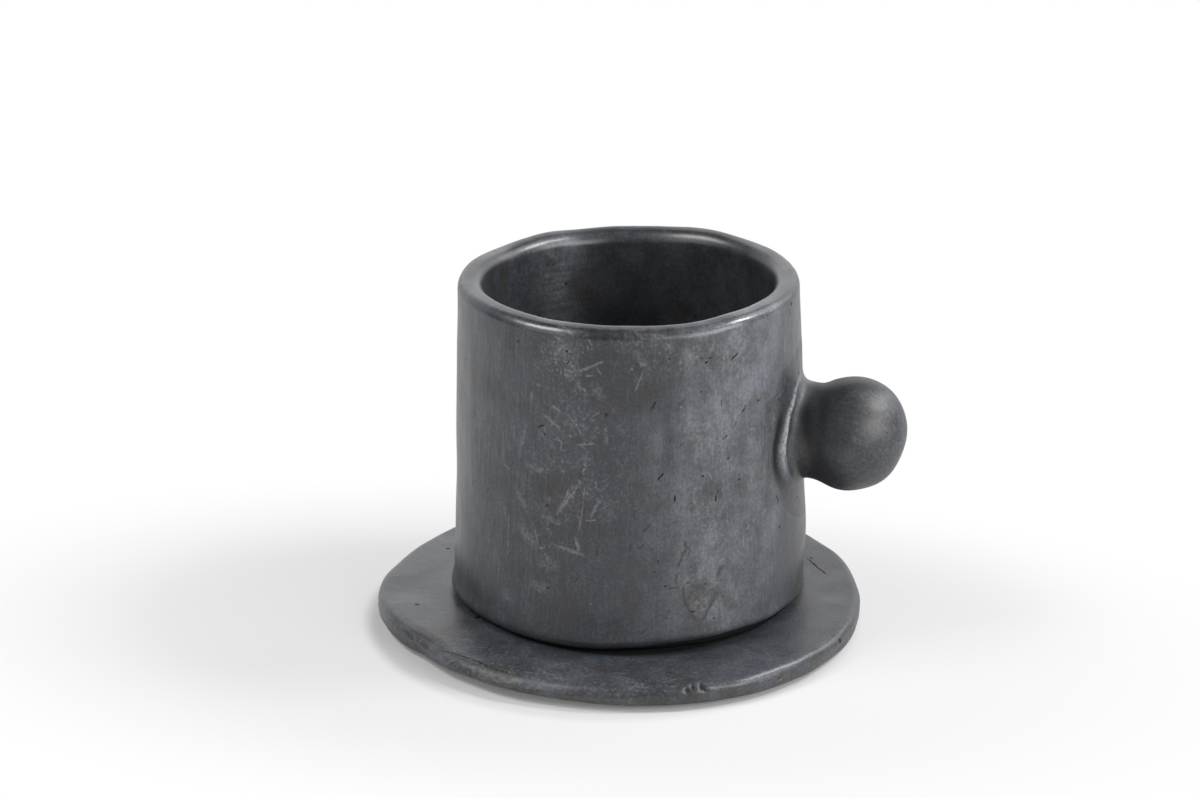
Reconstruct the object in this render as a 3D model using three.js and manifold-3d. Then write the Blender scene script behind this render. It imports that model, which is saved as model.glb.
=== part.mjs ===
// A hand-built mug of burnished, smoke-fired clay with a ball for a handle, on a flat round saucer.
// Millimetres, +Z up. The origin is the middle of the saucer's underside; +X runs out along the handle.

import * as THREE from 'three';
import { mergeVertices } from 'three/addons/utils/BufferGeometryUtils.js';
import Module from 'manifold-3d';

// Saucer: a slab of clay cut round by hand, whose underside curls up off the table towards the edge
const SAUCER_RADIUS = 57.8;
const SAUCER_THICK = 6.2;
const SAUCER_REST_RADIUS = 40;
const SAUCER_EDGE_LIFT = 1;
const SAUCER_TOP_ROUND = 1.2;
const SAUCER_FOOT_ROUND = 1.6;

// Where the mug stands on the saucer: a little off the middle, as it was put down
const MUG_SHIFT_X = 1.5;
const MUG_SHIFT_Y = 3.8;

// Wall of the mug: a tube that narrows from foot to rim, leans over a little and is coved inside its foot
const MUG_HEIGHT = 78.3;
const FOOT_RADIUS = 42.4;
const WALL_TAPER = 2.3;
const WALL_THICK = 5.8;
const RIM_OUTER_ROUND = 2.4;
const RIM_INNER_ROUND = 2.2;
const WALL_FOOT_ROUND = 1.5;
const COVE_RADIUS = 4;
const RIM_LEAN = 0.7;
const RIM_LEAN_DIRECTION = 190;

// Base of the mug: a slab whose ledge carries the wall, set back under it but for a bulge on one side, and
// whose raised floor fills the wall's foot
const LEDGE_THICK = 1.8;
const LEDGE_INSET = 4.2;
const LEDGE_ROUND = 0.8;
const LEDGE_BULGE = 5.5;
const LEDGE_BULGE_DIRECTION = 190;
const LEDGE_BULGE_FALL = 3;
const FLOOR_RISE = 3.4;

// Handle: a ball on a short stub, with a coil of clay smoothed round the stub to make the neck
const HANDLE_HEIGHT = 41.8;
const BALL_STANDOFF = 11;
const BALL_RADIUS = 13.3;
const BALL_FULLNESS = 0.8;
const BALL_FULLNESS_FALL = 4;
const NECK_RADIUS = 11.3;
const STUB_RADIUS = 8.8;
const COLLAR_RADIUS = 14.3;
const COLLAR_EDGE = 0.7;

// Clearance between pieces whose curved faces follow one another
const JOINT_GAP = 0.3;

// Unevenness left by the hand: [waves round the circle, size in mm, direction of a crest in degrees]
const SAUCER_WAVES = [[2, 0.43, -17], [3, 0.65, -53], [5, 0.3, -33], [7, 0.25, -9]];
const WALL_WAVES = [[2, 0.06, 20], [3, 0.15, -30], [5, 0.06, 40]];
const RIM_WAVES = [[1, 0.3, -15], [4, 0.22, -30], [7, 0.08, 20]];

// Fineness of the faceting
const ROUND_SEGMENTS = 72;
const HANDLE_SEGMENTS = 36;
const ARC_STEPS = 2;
const BALL_STEPS = 7;

const QUARTER = Math.PI / 2;
const RIM_RADIUS = FOOT_RADIUS - WALL_TAPER;
const WALL_RISE = MUG_HEIGHT - LEDGE_THICK;
const FLOOR_HEIGHT = LEDGE_THICK + FLOOR_RISE;
const COVE_HEIGHT = FLOOR_HEIGHT + COVE_RADIUS;

const wasm = await Module();
wasm.setup();

// Sum of the hand-made waves at one angle round the circle
function waves(list, angle) {
  let sum = 0;
  for (const [count, size, crest] of list) {
    sum += size * Math.cos(count * (angle - THREE.MathUtils.degToRad(crest)));
  }
  return sum;
}

// How far a spot on the wall stands from where a true tapered tube would have it
function wallWobble(angle, z) {
  const lean = RIM_LEAN * Math.cos(angle - THREE.MathUtils.degToRad(RIM_LEAN_DIRECTION));
  return waves(WALL_WAVES, angle) + lean * (z - LEDGE_THICK) / WALL_RISE;
}

// Radius of the wall's outer face before the wobble, at a height above the mug's underside
function taperRadius(z) {
  return THREE.MathUtils.mapLinear(z, LEDGE_THICK, MUG_HEIGHT, FOOT_RADIUS, RIM_RADIUS);
}

// Radius of the wall's outer face as it was made
function wallRadius(angle, z) {
  return taperRadius(z) + wallWobble(angle, z);
}

// Move each corner of a shape by a rule that takes and returns a point
function formed(geometry, rule) {
  const position = geometry.getAttribute('position');
  const point = new THREE.Vector3();
  for (let i = 0; i < position.count; i += 1) {
    point.fromBufferAttribute(position, i);
    rule(point);
    position.setXYZ(i, point.x, point.y, point.z);
  }
  return geometry;
}

// Join the corners that a revolved shape repeats along its seam
function welded(geometry) {
  geometry.deleteAttribute('normal');
  geometry.deleteAttribute('uv');
  return mergeVertices(geometry);
}

// Turn an outline of radius and height about the upright axis
function revolved(outline, segments = ROUND_SEGMENTS, arcSteps = ARC_STEPS) {
  const geometry = welded(new THREE.LatheGeometry(outline.getPoints(arcSteps), segments));
  return geometry.rotateX(QUARTER);
}

// Push a revolved shape in or out by an amount that depends on the angle and the height
function pushed(geometry, amount) {
  return formed(geometry, (point) => {
    const radius = Math.hypot(point.x, point.y);
    if (radius === 0) return;
    const scale = 1 + amount(Math.atan2(point.y, point.x), point.z) / radius;
    point.x *= scale;
    point.y *= scale;
  });
}

function toSolid(geometry) {
  const vertProperties = new Float32Array(geometry.getAttribute('position').array);
  const triVerts = new Uint32Array(geometry.index.array);
  return new wasm.Manifold(new wasm.Mesh({ numProp: 3, vertProperties, triVerts }));
}

function toGeometry(solid) {
  const { vertProperties, triVerts } = solid.getMesh();
  const geometry = new THREE.BufferGeometry();
  geometry.setAttribute('position', new THREE.BufferAttribute(vertProperties, 3));
  geometry.setIndex(new THREE.BufferAttribute(triVerts, 1));
  return geometry;
}

// The saucer's edge wavers in and out by the same amount all the way up; its top stays flat
function saucer() {
  const footArc = SAUCER_RADIUS - SAUCER_FOOT_ROUND;
  const topArc = SAUCER_RADIUS - SAUCER_TOP_ROUND;
  const outline = new THREE.Path();
  outline.moveTo(0, 0);
  outline.lineTo(SAUCER_REST_RADIUS, 0);
  outline.quadraticCurveTo((SAUCER_REST_RADIUS + footArc) / 2, 0, footArc, SAUCER_EDGE_LIFT);
  outline.absarc(footArc, SAUCER_EDGE_LIFT + SAUCER_FOOT_ROUND, SAUCER_FOOT_ROUND, -QUARTER, 0);
  outline.absarc(topArc, SAUCER_THICK - SAUCER_TOP_ROUND, SAUCER_TOP_ROUND, 0, QUARTER);
  outline.lineTo(0, SAUCER_THICK);
  return pushed(revolved(outline), (angle) => waves(SAUCER_WAVES, angle));
}

// Where the cove ends on the floor, and so where the wall's foot meets the base's raised floor
const coveReach = taperRadius(COVE_HEIGHT) - WALL_THICK - COVE_RADIUS;

// The wall stands on the ledge; its rim is rounded inside and out and rises and falls with the hand
function mugWall() {
  const rimArc = RIM_RADIUS - WALL_THICK + RIM_INNER_ROUND;
  const footArc = FOOT_RADIUS - WALL_FOOT_ROUND;
  const outline = new THREE.Path();
  outline.moveTo(coveReach, LEDGE_THICK);
  outline.lineTo(footArc, LEDGE_THICK);
  outline.absarc(footArc, LEDGE_THICK + WALL_FOOT_ROUND, WALL_FOOT_ROUND, -QUARTER, 0);
  outline.absarc(RIM_RADIUS - RIM_OUTER_ROUND, MUG_HEIGHT - RIM_OUTER_ROUND, RIM_OUTER_ROUND, 0, QUARTER);
  outline.absarc(rimArc, MUG_HEIGHT - RIM_INNER_ROUND, RIM_INNER_ROUND, QUARTER, Math.PI);
  outline.absarc(coveReach, COVE_HEIGHT, COVE_RADIUS, 0, -QUARTER, true);
  outline.lineTo(coveReach, LEDGE_THICK);
  const tube = pushed(revolved(outline), wallWobble);
  return formed(tube, (point) => {
    const lift = waves(RIM_WAVES, Math.atan2(point.y, point.x));
    point.z += lift * (point.z - LEDGE_THICK) / WALL_RISE;
  });
}

// How far the ledge stands out beyond a true circle: most on one side, where it shows beyond the wall
function ledgeBulge(angle) {
  const facing = (1 + Math.cos(angle - THREE.MathUtils.degToRad(LEDGE_BULGE_DIRECTION))) / 2;
  return LEDGE_BULGE * facing ** LEDGE_BULGE_FALL;
}

// The ledge's edges are rounded; the raised floor stands on it and follows the wall's foot
function mugBase() {
  const ledgeArc = FOOT_RADIUS - LEDGE_INSET - LEDGE_ROUND;
  const edge = new THREE.Path();
  edge.moveTo(0, 0);
  edge.lineTo(ledgeArc, 0);
  edge.absarc(ledgeArc, LEDGE_ROUND, LEDGE_ROUND, -QUARTER, 0);
  edge.absarc(ledgeArc, LEDGE_THICK - LEDGE_ROUND, LEDGE_ROUND, 0, QUARTER);
  edge.lineTo(0, LEDGE_THICK);
  const ledge = pushed(revolved(edge), ledgeBulge);

  const floorRadius = coveReach - JOINT_GAP;
  const outline = new THREE.Path();
  outline.moveTo(0, LEDGE_ROUND);
  outline.lineTo(floorRadius, LEDGE_ROUND);
  outline.lineTo(floorRadius, FLOOR_HEIGHT);
  outline.lineTo(0, FLOOR_HEIGHT);
  const floor = pushed(revolved(outline), wallWobble);
  return toGeometry(toSolid(ledge).add(toSolid(floor)));
}

// Middle of the ball, and where the ball narrows to the neck, measured from the mug's axis
const ballReach = taperRadius(HANDLE_HEIGHT) + BALL_STANDOFF;
const neckReach = ballReach - Math.sqrt(BALL_RADIUS ** 2 - NECK_RADIUS ** 2);

// A shape revolved about +Z, laid along the handle's axis
function alongHandle(geometry) {
  return geometry.rotateY(QUARTER).translate(0, 0, HANDLE_HEIGHT);
}

// The space that the wall fills behind the handle, with the joint's gap round it
function wallCutter() {
  const low = HANDLE_HEIGHT - COLLAR_RADIUS;
  const high = HANDLE_HEIGHT + COLLAR_RADIUS;
  const outline = new THREE.Path();
  outline.moveTo(0, low);
  outline.lineTo(taperRadius(low) + JOINT_GAP, low);
  outline.lineTo(taperRadius(high) + JOINT_GAP, high);
  outline.lineTo(0, high);
  return toSolid(pushed(revolved(outline), wallWobble));
}

// The ball is fuller at its upper outer side and ends in a shoulder towards the mug; its stub goes on
// through the collar and is hollowed to fit the wall
function handleBall() {
  const stubEnd = taperRadius(HANDLE_HEIGHT) - STUB_RADIUS;
  const outline = new THREE.Path();
  outline.moveTo(0, stubEnd);
  outline.lineTo(STUB_RADIUS, stubEnd);
  outline.lineTo(STUB_RADIUS, neckReach);
  outline.lineTo(NECK_RADIUS, neckReach);
  outline.absarc(0, ballReach, BALL_RADIUS, -Math.acos(NECK_RADIUS / BALL_RADIUS), QUARTER);
  const ball = alongHandle(revolved(outline, HANDLE_SEGMENTS, BALL_STEPS));
  const middle = new THREE.Vector3(ballReach, 0, HANDLE_HEIGHT);
  const fullSide = new THREE.Vector3(1, 0, 1).normalize();
  formed(ball, (point) => {
    const outward = point.clone().sub(middle).normalize();
    const share = Math.max(0, outward.dot(fullSide)) ** BALL_FULLNESS_FALL;
    point.addScaledVector(outward, BALL_FULLNESS * share);
  });
  return toGeometry(toSolid(ball).subtract(wallCutter()));
}

// The collar is bent so that its broad side lies on the wall, and is flat again where it meets the ball
function handleCollar() {
  const hole = STUB_RADIUS + JOINT_GAP;
  const rise = neckReach - taperRadius(HANDLE_HEIGHT) - JOINT_GAP;
  const outline = new THREE.Path();
  outline.moveTo(hole, JOINT_GAP);
  outline.lineTo(COLLAR_RADIUS, JOINT_GAP);
  outline.lineTo(COLLAR_RADIUS, JOINT_GAP + COLLAR_EDGE);
  outline.quadraticCurveTo(NECK_RADIUS, JOINT_GAP + COLLAR_EDGE, NECK_RADIUS, rise);
  outline.lineTo(hole, rise);
  outline.lineTo(hole, JOINT_GAP);
  const ring = alongHandle(revolved(outline, HANDLE_SEGMENTS));
  return formed(ring, (point) => {
    const away = (point.x - JOINT_GAP) / (rise - JOINT_GAP);
    const angle = Math.asin(point.y / taperRadius(point.z));
    const onWall = wallRadius(angle, point.z) * Math.cos(angle);
    point.x += THREE.MathUtils.lerp(onWall, taperRadius(HANDLE_HEIGHT), away);
  });
}

function piece(name, geometry, colour, roughness) {
  const material = new THREE.MeshStandardMaterial({ color: colour, roughness, metalness: 0 });
  const mesh = new THREE.Mesh(geometry, material);
  mesh.name = name;
  return mesh;
}

const set = new THREE.Group();
set.name = 'mug_and_saucer';
set.add(piece('saucer', saucer(), 0x4a4b4d, 0.5));

const mug = new THREE.Group();
mug.name = 'mug';
mug.position.set(MUG_SHIFT_X, MUG_SHIFT_Y, SAUCER_THICK);
mug.add(piece('mug_base', mugBase(), 0x434446, 0.5));
mug.add(piece('mug_wall', mugWall(), 0x4d4e51, 0.45));
mug.add(piece('handle_ball', handleBall(), 0x4b4c4f, 0.45));
mug.add(piece('handle_collar', handleCollar(), 0x505154, 0.5));
set.add(mug);

export default set;
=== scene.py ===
"""A hand-built mug of burnished, smoke-fired clay on its saucer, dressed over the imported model.

Lengths are in millimetres and angles in degrees until a mesh or light is made. Angles round the mug and
the saucer are measured from the handle, anticlockwise from above; the photograph was taken from about
-80 degrees. Heights on the mug are above the saucer's top.
"""

import math

import bpy
import numpy as np
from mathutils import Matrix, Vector


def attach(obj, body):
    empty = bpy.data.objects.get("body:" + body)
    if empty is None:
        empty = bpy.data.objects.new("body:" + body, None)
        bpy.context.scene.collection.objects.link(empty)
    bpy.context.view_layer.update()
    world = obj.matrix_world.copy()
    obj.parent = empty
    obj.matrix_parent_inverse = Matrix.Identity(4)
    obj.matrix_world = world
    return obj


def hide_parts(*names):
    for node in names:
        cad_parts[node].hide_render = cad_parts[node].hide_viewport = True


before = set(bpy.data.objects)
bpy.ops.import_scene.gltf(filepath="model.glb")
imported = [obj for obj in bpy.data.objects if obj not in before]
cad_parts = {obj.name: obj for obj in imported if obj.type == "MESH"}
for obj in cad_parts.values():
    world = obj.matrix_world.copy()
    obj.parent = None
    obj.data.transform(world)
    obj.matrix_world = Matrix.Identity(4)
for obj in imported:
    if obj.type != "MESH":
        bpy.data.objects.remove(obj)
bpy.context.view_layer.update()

MM = 0.001

# Camera, as fitted to the photograph
IMAGE_WIDTH = 1200
SENSOR_WIDTH = 36
FOCAL_PIXELS = 3709
CAMERA_AZIMUTH = 10
CAMERA_ELEVATION = 20.81
CAMERA_DISTANCE = 882.3
CAMERA_AIM = (-6.0, 2.6, 53.2)

# Saucer
SAUCER_RADIUS = 57.8
SAUCER_THICK = 6.2
SAUCER_REST_RADIUS = 40
SAUCER_EDGE_LIFT = 1
SAUCER_TOP_ROUND = 1.9
SAUCER_FOOT_ROUND = 1.6

# Mug: its place on the saucer, its wall, rim and base
MUG_PLACE = (1.5, 3.8, SAUCER_THICK)
MUG_HEIGHT = 78.3
FOOT_RADIUS = 42.4
WALL_TAPER = 2.3
WALL_THICK = 5.8
WALL_FOOT_ROUND = 2.2
RIM_OUTER_ROUND = 2.0
RIM_INNER_ROUND = 2.2
RIM_LEAN = 0.7
RIM_LEAN_DIRECTION = 190
LEDGE_THICK = 1.8
LEDGE_ROUND = 0.8
LEDGE_INSET = 4.2
SEAM_DEPTH = 0.9
FLOOR_HEIGHT = 5.2
COVE_RADIUS = 4

# Handle
HANDLE_HEIGHT = 41.8
BALL_STANDOFF = 11.0
BALL_RADIUS = 13.3
BALL_JOIN = 107
NECK_RADIUS = 11.35
NECK_RAISE = 0.25
FILLET_REACH = 2.5
FILLET_REACH_CHANGE = 1.2
FILLET_RADIUS = 14.1
FILLET_RADIUS_CHANGE = 1.4
SMEAR_RADIUS = 24
SMEAR_SINK = 0.06
SMEAR_THICK = 0.04

RIM_RADIUS = FOOT_RADIUS - WALL_TAPER
LEDGE_RADIUS = FOOT_RADIUS - LEDGE_INSET
WALL_RISE = MUG_HEIGHT - LEDGE_THICK
COVE_HEIGHT = FLOOR_HEIGHT + COVE_RADIUS

# Slow waves round the saucer's edge, the wall and the rim: (count, size, direction of a crest)
SAUCER_WAVES = [(2, 0.43, -17), (3, 0.65, -53), (5, 0.3, -33), (7, 0.25, -9)]
WALL_WAVES = [(2, 0.06, 20), (3, 0.15, -30), (5, 0.06, 40)]
RIM_WAVES = [(1, 0.3, -15), (4, 0.22, -30), (7, 0.08, 20)]

# Unevenness left by the hand: (seed, size, shortest and longest wave, and the count of waves if it is not 36)
WALL_DENTS = (11, 0.11, 14, 45)
STONE_STROKES = (12, 0.015, 2.2, 7, 60)
RIM_RIPPLE = (21, 0.1, 9, 40)
BASE_RIPPLE = (31, 0.12, 6, 30)
EDGE_RIPPLE = (41, 0.12, 5, 26)
TOP_RIPPLE = (42, 0.12, 16, 50)
EDGE_CRUMBS = (43, 1, 1.4, 4)
BALL_RIPPLE = (51, 0.09, 7, 24)
FURROW_WANDER = (52, 0.16, 5, 16)
BLUE_BANDS = (61, 0.22, 3, 9)
STROKE_SQUEEZE = 0.12
BAND_STRETCH = 7

# Where the grids' and the patterns' seam lies, away from the handle and from the photograph
SEAM_ANGLE = 100


def waves(series, angle):
    """Sum of the waves round a circle: (count, size, direction of a crest)."""
    height = np.zeros_like(angle)
    for count, size, crest in series:
        height += size * np.cos(count * (angle - math.radians(crest)))
    return height


def ramp(value, low, high):
    """0 below low, 1 above high and a smooth step between; low may be the larger one."""
    t = np.clip((value - low) / (high - low), 0, 1)
    return t * t * (3 - 2 * t)


def turn(angle):
    """An angle brought into -pi to pi."""
    return (angle + np.pi) % (2 * np.pi) - np.pi


def lobe(angle, direction, narrowness):
    """1 in a direction, falling to 0 on the far side; angle in radians."""
    return ((1 + np.cos(angle - math.radians(direction))) / 2) ** narrowness


def sector(angle, direction, half):
    """A soft sector round a direction, 1 in its middle; angle in radians, the rest in degrees."""
    return np.exp(-(np.degrees(turn(angle - math.radians(direction))) / half) ** 2)


def sectors(angle, places, base=0):
    """Soft sectors on top of a base: (strength, direction, half angle)."""
    return sum((strength * sector(angle, *place) for strength, *place in places), base)


def arcs(angle, reach, places, base=0):
    """Soft sectors that grow with a radius or height: (strength, direction, half angle, start, full)."""
    for strength, direction, half, start, full in places:
        base = base + strength * sector(angle, direction, half) * ramp(reach, start, full)
    return base


def patch(angle, height, direction, middle, half, half_height):
    """A soft oval patch on a round surface, 1 in its middle; angle in radians, the rest in degrees and mm."""
    away = np.degrees(turn(angle - math.radians(direction))) / half
    return np.exp(-away ** 2 - ((height - middle) / half_height) ** 2)


def patches(angle, height, places, base=0):
    """Soft patches on top of a base: (strength, direction, height, half angle, half height)."""
    return sum((strength * patch(angle, height, *place) for strength, *place in places), base)


def hand_noise(angle, radius, up, seed, size, shortest, longest, count=36):
    """Unevenness left by a hand, over an unrolled surface that closes on itself; angle in radians."""
    rng = np.random.default_rng(seed)
    along = angle * radius
    round_length = 2 * np.pi * radius
    height = np.zeros(np.broadcast(along, up).shape)
    weight = 0
    for _ in range(count):
        length = shortest * (longest / shortest) ** rng.random()
        heading = rng.random() * 2 * np.pi
        turns = round(round_length * math.cos(heading) / length)
        rise = 2 * np.pi * math.sin(heading) / length
        phase = rng.random() * 2 * np.pi
        height += length * np.cos(2 * np.pi * turns * along / round_length + rise * up + phase)
        weight += length ** 2 / 2
    return size * (height / math.sqrt(weight))


def taper_radius(z):
    return FOOT_RADIUS - WALL_TAPER * (z - LEDGE_THICK) / WALL_RISE


def wall_wobble(angle, z):
    lean = RIM_LEAN * np.cos(angle - math.radians(RIM_LEAN_DIRECTION))
    return waves(WALL_WAVES, angle) + lean * (z - LEDGE_THICK) / WALL_RISE


def wall_skin(angle, z):
    """Finer unevenness of the outer wall: dents from the fingers and strokes of the burnishing stone."""
    dents = hand_noise(angle, FOOT_RADIUS, z, *WALL_DENTS)
    return dents + hand_noise(angle, FOOT_RADIUS, STROKE_SQUEEZE * z, *STONE_STROKES)


# Outlines: rows of (radius, height) from short lists of lines and arcs

def line(start, end, step):
    count = max(1, round(math.dist(start, end) / step))
    return np.linspace(start, end, count, endpoint=False)


def arc(centre, radius, first, last, step):
    count = max(3, round(radius * math.radians(abs(last - first)) / step))
    angle = np.radians(np.linspace(first, last, count, endpoint=False))
    return np.stack([centre[0] + radius * np.cos(angle), centre[1] + radius * np.sin(angle)], 1)


def bezier(a, b, c, d, t):
    return a * (1 - t) ** 3 + 3 * b * t * (1 - t) ** 2 + 3 * c * t ** 2 * (1 - t) + d * t ** 3


# Grids

FAR_FROM_MARKS = 9


def mark_map(corners, marks):
    """For each corner of each face, its place relative to the mark nearest to that face.

    Marks are (across, up, length, width, slant) on the unrolled surface. The place is along and across the
    mark, in lengths and widths of it, so a mark is as sharp as its formula however large the faces are.
    """
    middle = corners.mean(axis=1)
    nearest = np.full(len(corners), FAR_FROM_MARKS - 1.0)
    placed = np.full(corners.shape, float(FAR_FROM_MARKS))
    for across, up, length, width, slant in marks:
        c, s = math.cos(math.radians(slant)), math.sin(math.radians(slant))
        turned = np.array([[c, -s], [s, c]]) / np.array([length, width])
        distance = np.abs((middle - (across, up)) @ turned).max(axis=1)
        closer = distance < nearest
        nearest[closer] = distance[closer]
        placed[closer] = (corners[closer] - (across, up)) @ turned
    return placed


def make_grid(name, rows, unwrap, poles, masks, marks, material, place=(0, 0, 0)):
    """A skin from rows of points that each run once round, with a point to close it at either end.

    rows is (row, column, xyz); unwrap is (row, column + 1, 2), the pattern's own coordinates; poles are the
    two end points, or None where that end stays open; masks are named values for each point of the rows;
    marks are named lists of marks.
    """
    count, columns, _ = rows.shape
    vertices = rows.reshape(-1, 3)
    column = np.arange(columns)
    onward = (column + 1) % columns
    low = (np.arange(count - 1) * columns)[:, None]
    quads = np.stack([low + column, low + onward, low + columns + onward, low + columns + column], -1)
    here, there = unwrap[:-1], unwrap[1:]
    quad_map = np.stack([here[:, :-1], here[:, 1:], there[:, 1:], there[:, :-1]], 2)
    loops = [quads.reshape(-1)]
    maps = [quad_map.reshape(-1, 2)]
    sizes = [np.full(quads.shape[0] * columns, 4)]
    for pole, row, swap in ((poles[0], 0, True), (poles[1], count - 1, False)):
        if pole is None:
            continue
        tip = np.full(columns, len(vertices))
        vertices = np.vstack([vertices, pole])
        first, second = row * columns + column, row * columns + onward
        a, b = unwrap[row, :-1], unwrap[row, 1:]
        fan = np.stack([second, first, tip] if swap else [first, second, tip], -1)
        fan_map = np.stack([b, a, (a + b) / 2] if swap else [a, b, (a + b) / 2], 1)
        loops.append(fan.reshape(-1))
        maps.append(fan_map.reshape(-1, 2))
        sizes.append(np.full(columns, 3))
    loops, maps, sizes = np.concatenate(loops), np.concatenate(maps), np.concatenate(sizes)

    mesh = bpy.data.meshes.new(name)
    mesh.vertices.add(len(vertices))
    mesh.vertices.foreach_set("co", ((vertices + np.array(place)) * MM).astype(np.float32).ravel())
    mesh.loops.add(len(loops))
    mesh.loops.foreach_set("vertex_index", loops.astype(np.int32))
    mesh.polygons.add(len(sizes))
    mesh.polygons.foreach_set("loop_start", (np.cumsum(sizes) - sizes).astype(np.int32))
    mesh.polygons.foreach_set("use_smooth", np.ones(len(sizes), bool))
    layer = mesh.uv_layers.new(name="unwrap")
    layer.uv.foreach_set("vector", maps.astype(np.float32).ravel())
    for marks_name, places in marks.items():
        placed = np.full(maps.shape, float(FAR_FROM_MARKS))
        placed[:quad_map.size // 2] = mark_map(quad_map.reshape(-1, 4, 2), places).reshape(-1, 2)
        layer = mesh.uv_layers.new(name=marks_name)
        layer.uv.foreach_set("vector", placed.astype(np.float32).ravel())
    for mask_name, values in masks.items():
        layer = mesh.attributes.new(mask_name, "FLOAT", "POINT")
        padded = np.zeros(len(vertices), np.float32)
        padded[:count * columns] = np.broadcast_to(values, (count, columns)).ravel()
        layer.data.foreach_set("value", padded)
    mesh.update(calc_edges=True)
    mesh.validate()
    mesh.materials.append(material)
    piece = bpy.data.objects.new(name, mesh)
    bpy.context.scene.collection.objects.link(piece)
    return piece


def columns_from_seam(count):
    """Angles of a grid's columns, and the same with the first one repeated after a full turn."""
    closed = math.radians(SEAM_ANGLE) + np.linspace(-2 * np.pi, 0, count + 1)
    return closed[:-1], closed


# The mug's body: base, wall, rim, inside and floor in one skin

MUG_COLUMNS = 360
FIRST_RING, LAST_RING = 6, 3
ROUND_STEP, SEAM_STEP, WALL_STEP, RIM_STEP = 0.3, 0.4, 0.52, 0.34
UNDER_STEP, INSIDE_STEP, COVE_STEP, FLOOR_STEP = 5, 1.5, 1, 2.5

# Dips in the rim, and where its top falls to the inside and the outside: (size, direction, half angle)
RIM_DIPS = [(-0.7, 153, 15), (-0.35, 120, 9)]
RIM_FALL_IN, RIM_FALL_IN_START = [(0.06, 100, 70)], 1.4
RIM_FALL_OUT, RIM_FALL_OUT_START = [(0.025, -80, 75)], 5.2
RIM_FALL_FADE = 5

# The wall's foot: its height over the saucer, its flares as soft patches, and its tuck as an arc
SEAM_LOWEST = 0.2
SEAM_LIFT = 1.75
SEAM_LIFT_DIRECTION = -52
SEAM_LIFT_NARROWNESS = 10
FOOT_RISE_TOP = 12
FOOT_FLARES = [(0.9, 190, 2.6, 40, 2.4), (1.5, -90, 2.6, 38, 6)]
FOOT_TUCKS = [(0.9, -5, 32, 16, 2)]

# The base bulges on one side and swells where the wall's foot is lifted
LEDGE_BULGE = 2.0
LEDGE_BULGE_LOBE = (190, 3)
LEDGE_SWELL = 2.4
LEDGE_SWELL_LOBE = (SEAM_LIFT_DIRECTION, 4)
LEDGE_FLAT_RADIUS = 20

# The wall behind the handle draws back, this far inside the smeared clay's edge
HOLLOW_DEPTH = 2.0
HOLLOW_STARTS, HOLLOW_FULL = 3.5, 5.1

# Soft patches on the outer wall and inside: (strength, direction, height, half angle, half height)
# Among the scuffs, the patch at -45 degrees and 70 mm up is painted light
WALL_SCUFFS_AND_LIGHT = [
    (0.6, -104, 42, 17, 30), (1, -101, 72, 8, 6), (0.4, -90, 44, 12, 20), (0.8, -60, 73, 13, 5),
    (0.6, -56, 26, 9, 24), (0.15, -75, 71, 9, 7), (0.3, -44, 40, 18, 24), (0.4, -97, 73, 13, 7),
    (0.8, -45, 70, 12, 9), (0.45, -55, 13, 9, 10), (0.5, -78, 78, 20, 3),
]
WALL_STREAK = 0.42
WALL_STREAKS = [(1, -150, 55, 34, 45), (0.5, -5, 62, 18, 20)]
WALL_BLUES = [(0.25, -140, 40, 40, 50), (0.75, -57, 13, 11, 11), (0.45, -44, 67, 15, 12),
              (0.3, -76, 78, 16, 3)]
WALL_BROWNS = [(0.55, -80, 75, 18, 6), (0.6, -60, 12, 5, 8), (0.12, -112, 66, 8, 10)]
INSIDE_STREAK = 0.2
# The patch at 131 degrees inside is a painted reflection: paler, bluer and streaked
INSIDE_STREAKS = [(0.6, 131, 68, 9, 16)]
INSIDE_BLUE = 0.17
INSIDE_BLUES_AND_REFLECTION = [(0.95, 131, 68, 9, 16), (0.15, 62, 50, 30, 30)]
INSIDE_BROWN = 0.35
# Painted shade inside the mug, growing deeper below the rim
INSIDE_SHADE, INSIDE_SHADE_HEIGHTS = 0.38, (MUG_HEIGHT - 2, MUG_HEIGHT - 14)

# The veil of blue bloom on the wall's right, also a painted reflection band: where it grows, deepens and
# ends, and the gap at its upper left
VEIL, VEIL_ANGLES = 0.55, (-84, -70)
VEIL_DEEPER, VEIL_DEEPER_ANGLES = 0.45, (-67, -59)
VEIL_END_ANGLES = (-12, -34)
VEIL_TOP, VEIL_TOP_HEIGHTS = 0.35, (48, 68)
VEIL_FOOT, VEIL_FOOT_HEIGHTS = 0.6, (36, 14)
VEIL_GAP, VEIL_GAP_HEIGHTS, VEIL_GAP_ANGLES = 0.9, (50, 64), (-58, -68)

# Where the rim's outer edge is rubbed and glossy, with a painted highlight where its glints fall: (share,
# direction, half angle)
RIM_WEAR_GLINT_ALL = 0.15
RIM_WEAR_GLINTS = [(1, -111, 8), (1, -38, 18), (0.4, 150, 20), (0.3, 62, 18)]
RIM_WEAR_GLINT_DROP, RIM_WEAR_GLINT_SPREAD = 0.8, 1.4

# Painted shade where the wall's foot turns under at the front, as an arc
UNDER_FOOT_SHADES = [(0.72, -88, 55, 4.6, 2.2)]


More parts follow.
